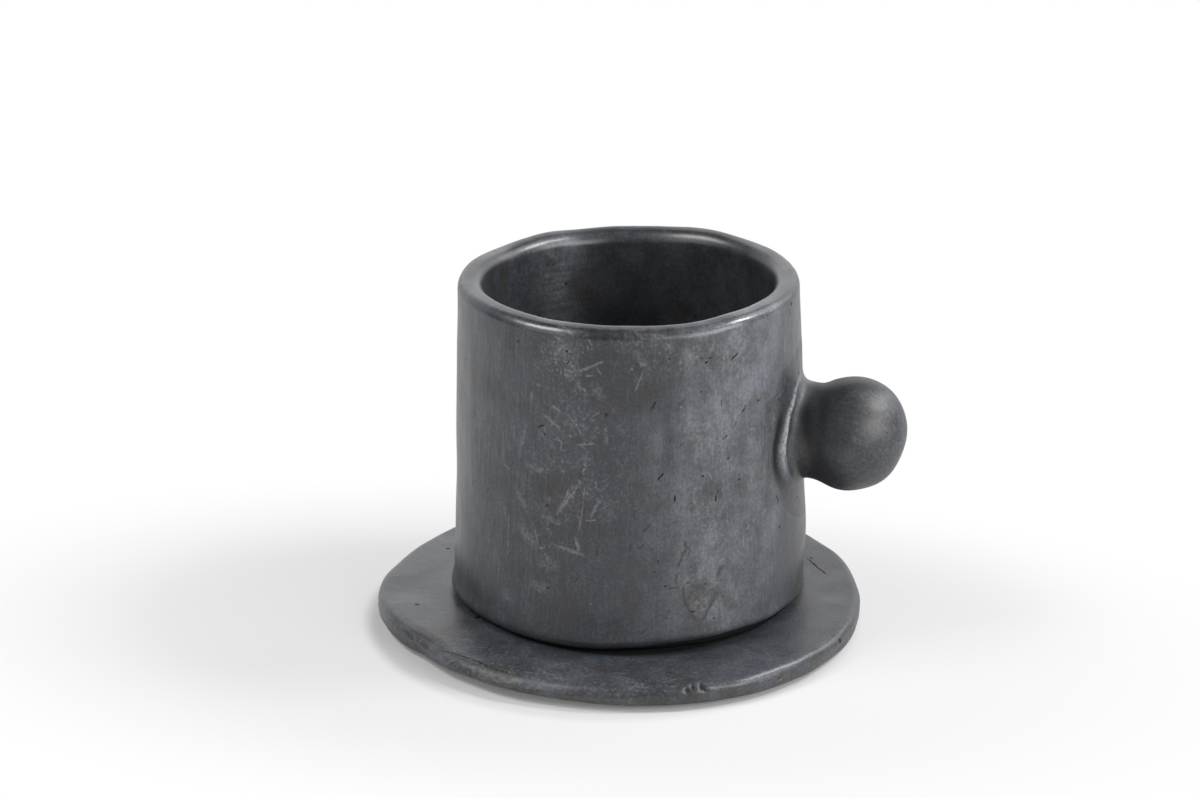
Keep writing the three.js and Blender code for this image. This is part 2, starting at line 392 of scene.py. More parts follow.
def mug_outline():
    """Rows of (radius, height, 1 on the base slab or 0) from under the base, over the rim, to the floor."""
    ledge_arc = LEDGE_RADIUS - LEDGE_ROUND
    foot_arc = FOOT_RADIUS - WALL_FOOT_ROUND
    rim_z = MUG_HEIGHT - RIM_OUTER_ROUND
    lip_z = MUG_HEIGHT - RIM_INNER_ROUND
    lip_arc = RIM_RADIUS - WALL_THICK + RIM_INNER_ROUND
    cove_reach = taper_radius(COVE_HEIGHT) - WALL_THICK - COVE_RADIUS
    ledge = np.vstack([
        line((FIRST_RING, 0), (ledge_arc, 0), UNDER_STEP),
        arc((ledge_arc, LEDGE_ROUND), LEDGE_ROUND, -90, 0, ROUND_STEP),
        arc((ledge_arc, LEDGE_THICK - LEDGE_ROUND), LEDGE_ROUND, 0, 90, ROUND_STEP),
        line((ledge_arc, LEDGE_THICK), (ledge_arc - SEAM_DEPTH, LEDGE_THICK), SEAM_STEP),
    ])
    wall = np.vstack([
        line((ledge_arc - SEAM_DEPTH, LEDGE_THICK), (foot_arc, LEDGE_THICK), SEAM_STEP),
        arc((foot_arc, LEDGE_THICK + WALL_FOOT_ROUND), WALL_FOOT_ROUND, -90, 0, ROUND_STEP),
        line((FOOT_RADIUS, LEDGE_THICK + WALL_FOOT_ROUND), (RIM_RADIUS, rim_z), WALL_STEP),
        arc((RIM_RADIUS - RIM_OUTER_ROUND, rim_z), RIM_OUTER_ROUND, 0, 90, RIM_STEP),
        line((RIM_RADIUS - RIM_OUTER_ROUND, MUG_HEIGHT), (lip_arc, MUG_HEIGHT), SEAM_STEP),
        arc((lip_arc, lip_z), RIM_INNER_ROUND, 90, 180, RIM_STEP),
        line((lip_arc - RIM_INNER_ROUND, lip_z), (cove_reach + COVE_RADIUS, COVE_HEIGHT), INSIDE_STEP),
        arc((cove_reach, COVE_HEIGHT), COVE_RADIUS, 0, -90, COVE_STEP),
        line((cove_reach, FLOOR_HEIGHT), (LAST_RING, FLOOR_HEIGHT), FLOOR_STEP),
    ])
    on_ledge = np.concatenate([np.ones(len(ledge)), np.zeros(len(wall))])
    return np.column_stack([np.vstack([ledge, wall]), on_ledge])


def rim_lift(angle, z):
    lift = waves(RIM_WAVES, angle) + hand_noise(angle, RIM_RADIUS, 0, *RIM_RIPPLE)
    return sectors(angle, RIM_DIPS, lift) * (z - LEDGE_THICK) / WALL_RISE


def rim_slope(angle, radius, z):
    """How far the rim's top drops from flat: towards the inside at the back, the outside at the front."""
    inward = np.clip(RIM_RADIUS - RIM_FALL_IN_START - radius, 0, WALL_THICK)
    outward = np.clip(radius - RIM_RADIUS + RIM_FALL_OUT_START, 0, WALL_THICK)
    drop = sectors(angle, RIM_FALL_IN) * inward ** 2 + sectors(angle, RIM_FALL_OUT) * outward ** 2
    return drop * np.exp(-((MUG_HEIGHT - z) / RIM_FALL_FADE) ** 2)


def seam_height(angle):
    """Height of the wall's foot above the saucer: it stands higher on one side."""
    return SEAM_LOWEST + SEAM_LIFT * lobe(angle, SEAM_LIFT_DIRECTION, SEAM_LIFT_NARROWNESS)


def handle_hollow(angle, z):
    """How far the wall's skin draws back behind the handle, which covers it there."""
    away = np.hypot(taper_radius(z) * np.sin(angle), z - HANDLE_HEIGHT)
    behind = ramp(away, SMEAR_RADIUS - HOLLOW_STARTS, SMEAR_RADIUS - HOLLOW_FULL)
    return HOLLOW_DEPTH * behind * (np.cos(angle) > 0)


def blue_veil_and_reflection(angle, z):
    degrees = np.degrees(angle)
    gap = VEIL_GAP * ramp(z, *VEIL_GAP_HEIGHTS) * ramp(degrees, *VEIL_GAP_ANGLES)
    veil = VEIL * ramp(degrees, *VEIL_ANGLES) * (1 - gap) + VEIL_DEEPER * ramp(degrees, *VEIL_DEEPER_ANGLES)
    by_height = 1 + VEIL_TOP * ramp(z, *VEIL_TOP_HEIGHTS) - VEIL_FOOT * ramp(z, *VEIL_FOOT_HEIGHTS)
    return veil * ramp(degrees, *VEIL_END_ANGLES) * by_height


def wall_masks(angle, z, outside):
    """Where the mug's body is scuffed, streaked by the burnishing stone, blue, brown and worn, and where
    light and shade are painted: a reflection band on the right, a gleam inside, glints on the rim, a light
    patch high on the right and shade inside.
    """
    inside = 1 - outside
    bands = hand_noise(angle, FOOT_RADIUS, z / BAND_STRETCH, *BLUE_BANDS)
    outer = {
        "scuff_and_painted_light": patches(angle, z, WALL_SCUFFS_AND_LIGHT),
        "streak": patches(angle, z, WALL_STREAKS, WALL_STREAK),
        "blue_and_painted_light": patches(angle, z, WALL_BLUES, blue_veil_and_reflection(angle, z)) * (1 + bands),
        "brown": patches(angle, z, WALL_BROWNS),
    }
    inner = {
        "scuff_and_painted_light": 0,
        "streak": patches(angle, z, INSIDE_STREAKS, INSIDE_STREAK),
        "blue_and_painted_light": patches(angle, z, INSIDE_BLUES_AND_REFLECTION, INSIDE_BLUE),
        "brown": INSIDE_BROWN,
    }
    masks = {key: np.clip(outer[key], 0, 1) * outside + inner[key] * inside for key in outer}
    edge = np.exp(-((z - MUG_HEIGHT + RIM_WEAR_GLINT_DROP) / RIM_WEAR_GLINT_SPREAD) ** 2)
    masks["wear_and_glint"] = edge * np.clip(RIM_WEAR_GLINT_ALL + sectors(angle, RIM_WEAR_GLINTS), 0, 1)
    masks["painted_shade"] = INSIDE_SHADE * inside * ramp(z, *INSIDE_SHADE_HEIGHTS)
    return masks


def make_mug_body(material):
    outline = mug_outline()
    angle, closed = columns_from_seam(MUG_COLUMNS)
    radius, z, on_ledge = (outline[:, i:i + 1] for i in range(3))
    theta = angle[None, :]

    outside = ramp(radius, RIM_RADIUS - WALL_THICK, RIM_RADIUS - 1) * (1 - on_ledge)
    wall = radius + wall_wobble(theta, z) + outside * wall_skin(theta, z)
    hollow = handle_hollow(theta, z) * (radius > RIM_RADIUS - 1) * (1 - on_ledge)
    wall = wall + (patches(theta, z, FOOT_FLARES) - arcs(theta, z, FOOT_TUCKS)) * outside - hollow
    swell = LEDGE_BULGE * lobe(theta, *LEDGE_BULGE_LOBE) + LEDGE_SWELL * lobe(theta, *LEDGE_SWELL_LOBE)
    slab = radius + swell * ramp(radius, LEDGE_FLAT_RADIUS, LEDGE_RADIUS)
    slab = slab + hand_noise(theta, LEDGE_RADIUS, z, *BASE_RIPPLE)
    far = np.where(on_ledge > 0.5, slab, wall)

    seam = seam_height(theta)
    foot = (seam - LEDGE_THICK) * ramp(z, FOOT_RISE_TOP, LEDGE_THICK) * outside
    wall_height = z + foot + rim_lift(theta, z) - rim_slope(theta, radius, z)
    height = np.where(on_ledge > 0.5, z * np.clip(seam / LEDGE_THICK, 0, 1), wall_height)
    rows = np.stack([far * np.cos(theta), far * np.sin(theta), height], -1)

    travel = np.concatenate([[0], np.cumsum(np.hypot(np.diff(outline[:, 0]), np.diff(outline[:, 1])))])
    foot_top = LEDGE_THICK + WALL_FOOT_ROUND
    foot_row = np.argmin(np.hypot(outline[:, 0] - FOOT_RADIUS, outline[:, 1] - foot_top))
    travel = travel + outline[foot_row, 1] - travel[foot_row]
    unwrap = np.stack(np.broadcast_arrays(FOOT_RADIUS * closed[None, :], travel[:, None]), -1)
    masks = wall_masks(theta, z, outside)
    turned_under = arcs(theta, z, UNDER_FOOT_SHADES) * outside
    # Painted shade: the whole base slab black, and the wall's foot darker where it turns under
    masks["painted_shade"] = np.maximum(np.maximum(masks["painted_shade"], turned_under), on_ledge)
    marks = {"gouges": on_wall(WALL_GOUGES + WALL_PITS), "scratches": on_wall(WALL_SCRATCHES + WALL_SPECKS),
             "smears": on_wall(WALL_SMEARS), "stains": on_wall(WALL_STAINS)}
    poles = ((0, 0, 0), (0, 0, FLOOR_HEIGHT))
    return make_grid("mug_body", rows, unwrap, poles, masks, marks, material, MUG_PLACE)


# The handle: smeared clay, ridge, groove, neck and ball in one skin; angles round it are from its top

HANDLE_COLUMNS = 320
SMEAR_ROWS, FILLET_ROWS, NECK_ROWS, BALL_ROWS = 34, 30, 20, 64
PATTERN_ROW = 0.4
SMEAR_RISE = 0.5
FILLET_EASE, FILLET_HUG = 0.35, 0.75
NECK_EASE_OUT, NECK_EASE_IN = 0.4, 0.35

# Furrows and ridges near the wall: distance from the axis, width, depth, and where they run round the handle
GROOVE = {"radius": 17.2, "width": 1.5, "depth": 0.7, "middle": 84, "half": 30, "broader": 0}
RIDGE = {"radius": 14.5, "width": 0.5, "depth": -0.45, "middle": 62, "half": 40, "broader": 0.9}
VALLEY = {"radius": 12.8, "width": 0.7, "depth": 0.3, "middle": 78, "half": 36, "broader": 0}
BROADER_ANGLES = (60, 100)
NEAR_WALL = (3, 1)

# Swellings of the ball: (direction, size, narrowness); and where its ripple starts
BALL_SWELLS = [((1, 0, 1), 0.8, 4), ((0.57, 0, -0.82), 0.4, 8), ((0.9, 0, -0.43), -0.3, 14)]
BALL_STARTS = 2
BALL_RIPPLE_RADII = (2, 9)

# The handle's masks: soft patches round it and along it, and bands that follow the ridge and the neck; the
# shade in the groove, the valley, the neck and the crease at the wall is painted shade
HANDLE_SCUFFS = [(0.5, 55, BALL_STANDOFF + 8, 40, 5)]
HANDLE_BROWNS = [(0.4, 100, BALL_STANDOFF + 6, 50, 7)]
HANDLE_CREASE_SHADES = [(0.45, 54, 1.9, 36, 1.7)]
HANDLE_STREAK = 0.5
HANDLE_BLUE = 0.25
RIDGE_BLUE, RIDGE_BLUE_INSET, RIDGE_BLUE_WIDTH = 0.6, 0.6, 2
VALLEY_SHADE = 0.7
NECK_SHADE, NECK_SHADE_STARTS, NECK_SHADE_ENDS = 0.55, (1.7, 3.2), (BALL_STANDOFF + 9, 2)
NECK_SHADE_SHIFT = [(-1.0, 50, 34)]
SMEAR_FADES = (18.8, 20.8)


def furrow(shape, radius, psi):
    """Share, 0 to 1, of a furrow or ridge that runs part of the way round the handle."""
    window = np.exp(-(np.degrees(turn(psi - math.radians(shape["middle"]))) / shape["half"]) ** 4)
    wander = hand_noise(psi, FILLET_RADIUS, 0, *FURROW_WANDER)
    width = shape["width"] * (1 + shape["broader"] * ramp(np.degrees(psi), *BROADER_ANGLES))
    return window * np.exp(-((radius - wander - shape["radius"]) / width) ** 2)


def wall_face(y, z):
    """How far along the handle's axis the wall's outer face is, at a place across and up it."""
    angle = np.arcsin(y / taper_radius(z))
    return (taper_radius(z) + wall_wobble(angle, z) + wall_skin(angle, z)) * np.cos(angle)


def handle_masks(psi, along, radius, near):
    """The same masks as the wall's, by the angle round the handle and the distance along it; its shade is
    painted shade in the groove, the valley, the neck and the crease at the wall.
    """
    groove, ridge, valley = (furrow(shape, radius, psi) for shape in (GROOVE, RIDGE, VALLEY))
    by_ridge = np.exp(-((radius - RIDGE["radius"] + RIDGE_BLUE_INSET) / RIDGE_BLUE_WIDTH) ** 2)
    neck_shade = NECK_SHADE * ramp(along - sectors(psi, NECK_SHADE_SHIFT), *NECK_SHADE_STARTS)
    # Painted shade in the groove and the valley, and along the neck into the ball's near side
    painted_shade = (np.sqrt(groove) * (1 - ridge) + VALLEY_SHADE * valley) * near
    painted_shade = painted_shade + neck_shade * ramp(along, *NECK_SHADE_ENDS)
    return {
        "scuff_and_painted_light": patches(psi, along, HANDLE_SCUFFS),
        "streak": HANDLE_STREAK,
        "blue_and_painted_light": HANDLE_BLUE + RIDGE_BLUE * by_ridge * near,
        "brown": patches(psi, along, HANDLE_BROWNS),
        "wear_and_glint": np.sqrt(ridge) * near,
        "painted_shade": np.clip(patches(psi, along, HANDLE_CREASE_SHADES, painted_shade), 0, 1),
    }


def make_handle(material):
    flat = taper_radius(HANDLE_HEIGHT)
    closed = np.linspace(0, 2 * np.pi, HANDLE_COLUMNS + 1)
    psi = closed[:-1][None, :]
    neck = NECK_RADIUS + NECK_RAISE * np.cos(psi)
    reach = FILLET_REACH + FILLET_REACH_CHANGE * np.cos(psi)
    start = FILLET_RADIUS + FILLET_RADIUS_CHANGE * np.cos(psi)
    join = math.radians(BALL_JOIN)
    join_reach = BALL_STANDOFF + BALL_RADIUS * math.cos(join)
    join_radius = BALL_RADIUS * math.sin(join)
    run = join_reach - reach
    ease_in = NECK_EASE_IN * run

    # Distance along the handle from the wall, and distance from the handle's axis
    smear, fillet, swell = (np.linspace(0, 1, count, endpoint=False)[:, None]
                            for count in (SMEAR_ROWS, FILLET_ROWS, NECK_ROWS))
    polar = np.linspace(join, 0, BALL_ROWS, endpoint=False)[:, None]
    along = np.vstack([
        -SMEAR_SINK + (SMEAR_SINK + SMEAR_THICK) * ramp(smear, 0, SMEAR_RISE) + 0 * psi,
        SMEAR_THICK + bezier(0, 0, FILLET_EASE * reach, reach - SMEAR_THICK, fillet),
        bezier(reach, reach + NECK_EASE_OUT * run, join_reach - ease_in * math.sin(join), join_reach, swell),
        BALL_STANDOFF + BALL_RADIUS * np.cos(polar) + 0 * psi,
    ])
    radius = np.vstack([
        SMEAR_RADIUS + (start - SMEAR_RADIUS) * smear,
        bezier(start, start - FILLET_HUG * (start - neck), neck, neck, fillet),
        bezier(neck, neck, join_radius + ease_in * math.cos(join), join_radius, swell),
        BALL_RADIUS * np.sin(polar) + 0 * psi,
    ])
    relief = sum(-shape["depth"] * furrow(shape, radius, psi) for shape in (GROOVE, RIDGE, VALLEY))
    near = ramp(along, *NEAR_WALL)
    across = -radius * np.sin(psi)
    up = HANDLE_HEIGHT + radius * np.cos(psi)
    seat = flat + (wall_face(across, up) - flat) * near
    rows = np.stack([seat + along + relief * near, across, up], -1)

    middle = np.array([flat + BALL_STANDOFF, 0, HANDLE_HEIGHT])
    outward = (rows - middle) / np.linalg.norm(rows - middle, axis=-1, keepdims=True)
    swollen = np.zeros(radius.shape)
    for direction, size, narrowness in BALL_SWELLS:
        facing = outward @ (np.array(direction) / np.linalg.norm(direction))
        swollen += size * np.clip(facing, 0, 1) ** narrowness
    swollen += hand_noise(psi, BALL_RADIUS, along, *BALL_RIPPLE) * ramp(radius, *BALL_RIPPLE_RADII)
    on_ball = ramp(along, BALL_STARTS, join_reach)
    rows = rows + outward * (swollen * on_ball)[..., None]
    tip = rows[-1].mean(0)

    travel = np.arange(len(rows))[:, None] * PATTERN_ROW
    unwrap = np.stack(np.broadcast_arrays(NECK_RADIUS * closed[None, :], travel), -1)
    own = handle_masks(psi, along, radius, near)
    wall = wall_masks(np.arctan2(across, seat), up, np.ones_like(radius))
    on_wall_share = ramp(radius, *SMEAR_FADES) * near
    masks = {key: own[key] + (wall[key] - own[key]) * on_wall_share for key in own}
    return make_grid("mug_handle", rows, unwrap, (None, tip), masks, {}, material, MUG_PLACE)


# The saucer

SAUCER_COLUMNS = 800
CURL_ROWS = 10
SAUCER_LAST_RING = 4
MIDDLE_RADIUS = 36
SIDE_STEP, TOP_ROUND_STEP, TOP_STEP, MIDDLE_STEP = 0.3, 0.25, 0.45, 3
EDGE_FROM = 30
EDGE_RIPPLE_SQUEEZE = 3
TOP_RIPPLE_RADII = (44, 52)
TOP_RIPPLE_HIGHEST, TOP_RIPPLE_HEIGHTS = 0.05, (2, SAUCER_THICK)

# Dents in the outline: (depth, direction, half angle)
SAUCER_DENTS = [(1.3, 161, 15), (0.7, 176, 7), (0.9, 40, 12), (0.8, -136, 7)]

# Damage to the edge: a row of chips at the front left, and notches as soft patches
CHIPS = (-114.5, SAUCER_THICK - 0.5, 10.5, 1.2)
CHIP_DEPTH, CHIP_CRUMBS, CRUMB_SQUEEZE = 0.1, (0.3, 1.3), 2
NOTCHES = [(0.55, -65.6, 5.3, 0.5, 0.5), (0.55, -64.2, 5.7, 0.5, 0.5), (0.55, -62.2, 5.6, 0.6, 0.6),
           (0.4, -61.4, 4.9, 0.4, 0.4), (0.4, -42.2, 3.4, 0.35, 0.35)]
DAMAGE_REACH, DAMAGE_SINK, DAMAGE_SINK_HEIGHTS = 2, 0.3, (3, SAUCER_THICK)

# At the front left the edge slumps on top and is raised underneath, as an arc
EDGE_SLUMP, EDGE_SLUMP_WIDTH, EDGE_SLUMP_CURVE = 1.3, 4, 1.4
EDGE_SLUMP_SECTOR = (-104, 45)
EDGE_RAISES = [(1.1, -112, 22, 46, 56)]

# Painted shade round the place where the mug stands: (reach past the foot, direction from the mug, half
# angle)
STAND_SHADE_REACH = [(0.6, -140, 25), (0.6, -95, 25), (1.6, -65, 24), (-1.5, -6, 27)]
STAND_GAP = 0.3
STAND_OUTER, STAND_INNER = (0.9, -0.9), (-7, -3.5)
STAND_BEHIND, STAND_FRONT, STAND_FRONT_SECTOR = 0.25, 0.75, (-90, 65)

# The saucer's other masks: arcs are (strength, direction, half angle, start, full), sectors have no radii
SAUCER_SCUFF, SAUCER_SCUFF_RADII = 0.25, (40, 52)
# The scuffs at the front left of the top are painted light there, with pale flecks
SAUCER_SCUFFS_AND_LIGHT = [(0.7, -105, 40, 46, 54), (0.8, -124, 22, 43, 47)]
TOP_HEIGHTS = (SAUCER_THICK - 2.2, SAUCER_THICK - 0.6)
SAUCER_STREAK = 0.5
SAUCER_BLUE = [(0.62, 180, 60)]
# The blue at the front left of the top is also painted light
SAUCER_EDGE_BLUE_AND_LIGHT = [(0.2, -105, 45, 43, 53)]
SAUCER_SIDE_BROWN, SAUCER_BROWN_HEIGHTS = 0.6, (SAUCER_THICK, 2)
SAUCER_BROWN = [(0.3, -90, 60)]
# Where the saucer's top and foot edges are glossy and painted paler as highlights: (share, direction, half
# angle); a share below 0 makes the edge rougher
TOP_EDGE_WEAR_GLINT = [(0.75, -29, 22), (0.3, -80, 15), (-0.8, -115, 28)]
TOP_EDGE_INSET, TOP_EDGE_WIDTH, TOP_EDGE_HEIGHTS = 0.6, 0.7, (3, SAUCER_THICK - 0.4)
FOOT_EDGE_WEAR_GLINT = [(1, -112, 20)]
FOOT_EDGE_RISE, FOOT_EDGE_WIDTH, FOOT_EDGE_RADII = 0.3, 0.3, (50, 55)
# Painted shade on the handle's side of the saucer, and in its chips and notches
SAUCER_SIDE_SHADE = [(0.16, 5, 55)]
SHADED_DAMAGE = 0.3


def saucer_outline():
    top_arc = SAUCER_RADIUS - SAUCER_TOP_ROUND
    foot_arc = SAUCER_RADIUS - SAUCER_FOOT_ROUND
    edge_foot = SAUCER_EDGE_LIFT + SAUCER_FOOT_ROUND
    curl = np.linspace(0, 1, CURL_ROWS, endpoint=False)
    reach = SAUCER_REST_RADIUS + (foot_arc - SAUCER_REST_RADIUS) * curl
    return np.vstack([
        line((FIRST_RING, 0), (SAUCER_REST_RADIUS, 0), UNDER_STEP),
        np.stack([reach, SAUCER_EDGE_LIFT * ramp(curl, 0, 1)], 1),
        arc((foot_arc, edge_foot), SAUCER_FOOT_ROUND, -90, 0, ROUND_STEP),
        line((SAUCER_RADIUS, edge_foot), (SAUCER_RADIUS, SAUCER_THICK - SAUCER_TOP_ROUND), SIDE_STEP),
        arc((top_arc, SAUCER_THICK - SAUCER_TOP_ROUND), SAUCER_TOP_ROUND, 0, 90, TOP_ROUND_STEP),
        line((top_arc, SAUCER_THICK), (MIDDLE_RADIUS, SAUCER_THICK), TOP_STEP),
        line((MIDDLE_RADIUS, SAUCER_THICK), (SAUCER_LAST_RING, SAUCER_THICK), MIDDLE_STEP),
    ])


def edge_damage(angle, radius, z):
    """How far the saucer's edge is knocked back: a row of chips at the front left and a few notches."""
    crumbs = hand_noise(angle, SAUCER_RADIUS, CRUMB_SQUEEZE * z, *EDGE_CRUMBS)
    chips = CHIP_DEPTH * patch(angle, z, *CHIPS) * ramp(crumbs, *CHIP_CRUMBS)
    by_edge = ramp(radius, SAUCER_RADIUS - SAUCER_FOOT_ROUND - DAMAGE_REACH, SAUCER_RADIUS)
    return patches(angle, z, NOTCHES, chips) * by_edge


def stand_shade(across, along, z):
    """Painted shade in a ring round the mug's foot, strongest at the front."""
    across, along = across - MUG_PLACE[0], along - MUG_PLACE[1]
    side = np.arctan2(along, across)
    past_foot = np.hypot(across, along) - FOOT_RADIUS - STAND_GAP - sectors(side, STAND_SHADE_REACH)
    ring = ramp(past_foot, *STAND_OUTER) * ramp(past_foot, *STAND_INNER)
    ring = ring * ramp(z, SAUCER_THICK - 1, SAUCER_THICK)
    return ring * (STAND_BEHIND + STAND_FRONT * sector(side, *STAND_FRONT_SECTOR))


def saucer_masks(theta, radius, z, damage, stand):
    past_top = radius - (SAUCER_RADIUS - SAUCER_TOP_ROUND) - TOP_EDGE_INSET
    top_edge = np.exp(-(past_top / TOP_EDGE_WIDTH) ** 2) * ramp(z, *TOP_EDGE_HEIGHTS)
    foot_edge = np.exp(-((z - SAUCER_EDGE_LIFT - FOOT_EDGE_RISE) / FOOT_EDGE_WIDTH) ** 2)
    foot_edge = foot_edge * ramp(radius, *FOOT_EDGE_RADII)
    scuff_and_painted_light = SAUCER_SCUFF * ramp(radius, *SAUCER_SCUFF_RADII)
    brown = SAUCER_SIDE_BROWN * ramp(z, *SAUCER_BROWN_HEIGHTS)
    return {
        "scuff_and_painted_light": arcs(theta, radius, SAUCER_SCUFFS_AND_LIGHT, scuff_and_painted_light) * ramp(z, *TOP_HEIGHTS),
        "streak": SAUCER_STREAK,
        "blue_and_painted_light": arcs(theta, radius, SAUCER_EDGE_BLUE_AND_LIGHT, sectors(theta, SAUCER_BLUE)),
        "brown": sectors(theta, SAUCER_BROWN, brown),
        "wear_and_glint": top_edge * sectors(theta, TOP_EDGE_WEAR_GLINT) + foot_edge * sectors(theta, FOOT_EDGE_WEAR_GLINT),
        # Painted shade: the ring round the mug's foot, the handle's side, and the chips and notches
        "painted_shade": np.clip(sectors(theta, SAUCER_SIDE_SHADE, damage / SHADED_DAMAGE) + stand, 0, 1),
    }


def make_saucer(material):
    outline = saucer_outline()
    angle, closed = columns_from_seam(SAUCER_COLUMNS)
    theta = angle[None, :]
    radius, z = outline[:, :1], outline[:, 1:]
    uneven = hand_noise(theta, SAUCER_RADIUS, EDGE_RIPPLE_SQUEEZE * z, *EDGE_RIPPLE)
    damage = edge_damage(theta, radius, z)
    wavering = waves(SAUCER_WAVES, theta) + uneven - sectors(theta, SAUCER_DENTS)
    far = radius + ramp(radius, EDGE_FROM, SAUCER_RADIUS) * wavering - damage

    dip = hand_noise(theta, SAUCER_RADIUS, radius, *TOP_RIPPLE) * ramp(radius, *TOP_RIPPLE_RADII)
    height = z + np.minimum(dip, TOP_RIPPLE_HIGHEST) * ramp(z, *TOP_RIPPLE_HEIGHTS)
    height = height - DAMAGE_SINK * damage * ramp(z, *DAMAGE_SINK_HEIGHTS)
    outer = np.clip((radius - SAUCER_RADIUS) / EDGE_SLUMP_WIDTH + 1, 0, 1)
    slump = EDGE_SLUMP * sector(theta, *EDGE_SLUMP_SECTOR) * outer ** EDGE_SLUMP_CURVE
    height = height - slump * ramp(z, SAUCER_EDGE_LIFT + 1, SAUCER_THICK)
    height = height + arcs(theta, radius, EDGE_RAISES) * ramp(z, SAUCER_THICK - 1, SAUCER_EDGE_LIFT)
    rows = np.stack([far * np.cos(theta), far * np.sin(theta), height], -1)

    wide = np.concatenate([far, far[:, :1]], 1)
    unwrap = np.stack([wide * np.cos(closed), wide * np.sin(closed)], -1)
    masks = saucer_masks(theta, radius, z, damage, stand_shade(rows[..., 0], rows[..., 1], z))
    poles = ((0, 0, 0), (0, 0, SAUCER_THICK))
    return make_grid("saucer_slab", rows, unwrap, poles, masks, {"gouges": SAUCER_GOUGES}, material)


# Materials: one fired clay, dressed differently on each piece

GRAPHITE = (0.0250, 0.0298, 0.0385, 1)
# Blue bloom of the fire, also laid as painted reflections and painted light
BLUE_BLOOM_AND_PAINTED_LIGHT = (0.097, 0.106, 0.122, 1)
BROWN_BLOOM = (0.034, 0.0300, 0.025, 1)
# Pale of scuffs and marks, also laid as painted light and painted highlights
PALE_MARKS_AND_LIGHT = (0.166, 0.168, 0.172, 1)
# Near-black of the painted shade, also laid in pits, nicks and gouges
MARK_AND_SHADE_BLACK = (0.006, 0.0062, 0.0066, 1)
STAIN_BROWN = (0.030, 0.025, 0.018, 1)
# Pale of the handle's ridge: wear, and a painted highlight along it
RIDGE_WEAR_AND_HIGHLIGHT = (0.40, 0.42, 0.45, 1)

CLAY_IOR = 1.62
CLAY_SHINE, HOLE_SHINE = 0.5, 0.08
WALL_TONE, HANDLE_TONE, SAUCER_TONE = 1.0, 0.9, 1.3
WALL_ROUGHNESS, HANDLE_ROUGHNESS, SAUCER_ROUGHNESS = (0.33, 0.43), (0.38, 0.5), (0.34, 0.44)
PALE_ROUGHER, DARK_ROUGHER = 0.12, 0.3
POLISH = (0.06, 0.21)
BUMP_HEIGHT, BUMP_STRENGTH = 0.12, 0.5
GRAIN_RELIEF, STREAK_RELIEF = 0.35, 0.25

# Mottle and grain: (mm across, detail, roughness); and how much each changes the tone
BROAD, BROAD_TONE = (30, 3, 0.55), (0.8, 1.15)
CLOUD, CLOUD_TONE = (6.5, 5, 0.62), (-0.27, 0.29)
GRAIN, GRAIN_TONE = (0.7, 3, 0.6), (0.72, 1.28)
WARM, WARM_SHIFT = (10, 3, 0.6), (40, 0, 0)
STREAK_TONE = 2.8
SHAKE_SCALE, SHAKE = 0.9, 0.7
MARK_SHAKE = (0.3, 0.9, 0)
PIT_SIZES = (0.05, 0.13)

# The part of the grain's range over which it breaks up a layer
GRAIN_BREAK = (0.3, 0.6)
GRAIN_BREAK_HARD = (0.36, 0.62)


def feed(tree, socket, value):
    """Links a socket to another node's output, or sets its value."""
    if isinstance(value, bpy.types.NodeSocket):
        tree.links.new(value, socket)
    else:
        socket.default_value = value


def node(tree, kind, inputs=(), **settings):
    """Adds a node; inputs maps a socket's name or number to a value or to another node's output."""
    made = tree.nodes.new(kind)
    for key, value in settings.items():
        setattr(made, key, value)
    for key, value in dict(inputs).items():
        feed(tree, made.inputs[key], value)
    return made


def calc(tree, operation, a, b=0.0):
    return node(tree, "ShaderNodeMath", {0: a, 1: b}, operation=operation).outputs[0]


def product(tree, a, b):
    return calc(tree, "MULTIPLY", a, b)


def total(tree, *values):
    """Sum of some masks, held between 0 and 1."""
    result = values[0]
    for value in values[1:]:
        result = calc(tree, "ADD", result, value)
    return node(tree, "ShaderNodeClamp", {"Value": result}).outputs[0]


def vector(tree, operation, a, b):
    return node(tree, "ShaderNodeVectorMath", {0: a, 1: b}, operation=operation).outputs["Vector"]


def remap(tree, value, low, high, out_low=0.0, out_high=1.0):
    inputs = {"Value": value, "From Min": low, "From Max": high, "To Min": out_low, "To Max": out_high}
    return node(tree, "ShaderNodeMapRange", inputs, interpolation_type="SMOOTHSTEP").outputs["Result"]


def graded(tree, layer, by, low, high, out_low=0.0, out_high=1.0):
    """A layer times a share that follows another value, which is remapped for it."""
    return product(tree, layer, remap(tree, by, low, high, out_low, out_high))


def noise(tree, place, size, detail=2.0, roughness=0.5):
    """Cloudy noise, 0 to 1, whose features are about this many mm across."""
    inputs = {"Vector": place, "Scale": 1 / size, "Detail": detail, "Roughness": roughness}
    return node(tree, "ShaderNodeTexNoise", inputs).outputs["Fac"]


def mask(tree, name):
    return node(tree, "ShaderNodeAttribute", attribute_name=name).outputs["Fac"]


def mix(tree, factor, a, b, blend="MIX"):
    made = node(tree, "ShaderNodeMix", data_type="RGBA", blend_type=blend)
    for key, value in {"Factor": factor, "A": a, "B": b}.items():
        feed(tree, next(s for s in made.inputs if s.name == key and s.enabled), value)
    return next(s for s in made.outputs if s.enabled)


def stroke_shape(tree, away, length, width, length_core, width_core):
    """Mask of one straight stroke whose middle is where away is 0; the cores are where it is full."""
    parts = node(tree, "ShaderNodeSeparateXYZ", {0: vector(tree, "ABSOLUTE", away, (0, 0, 0))})
    ends = remap(tree, parts.outputs["X"], length / 2, length_core)
    return graded(tree, ends, parts.outputs["Y"], width / 2, width_core)


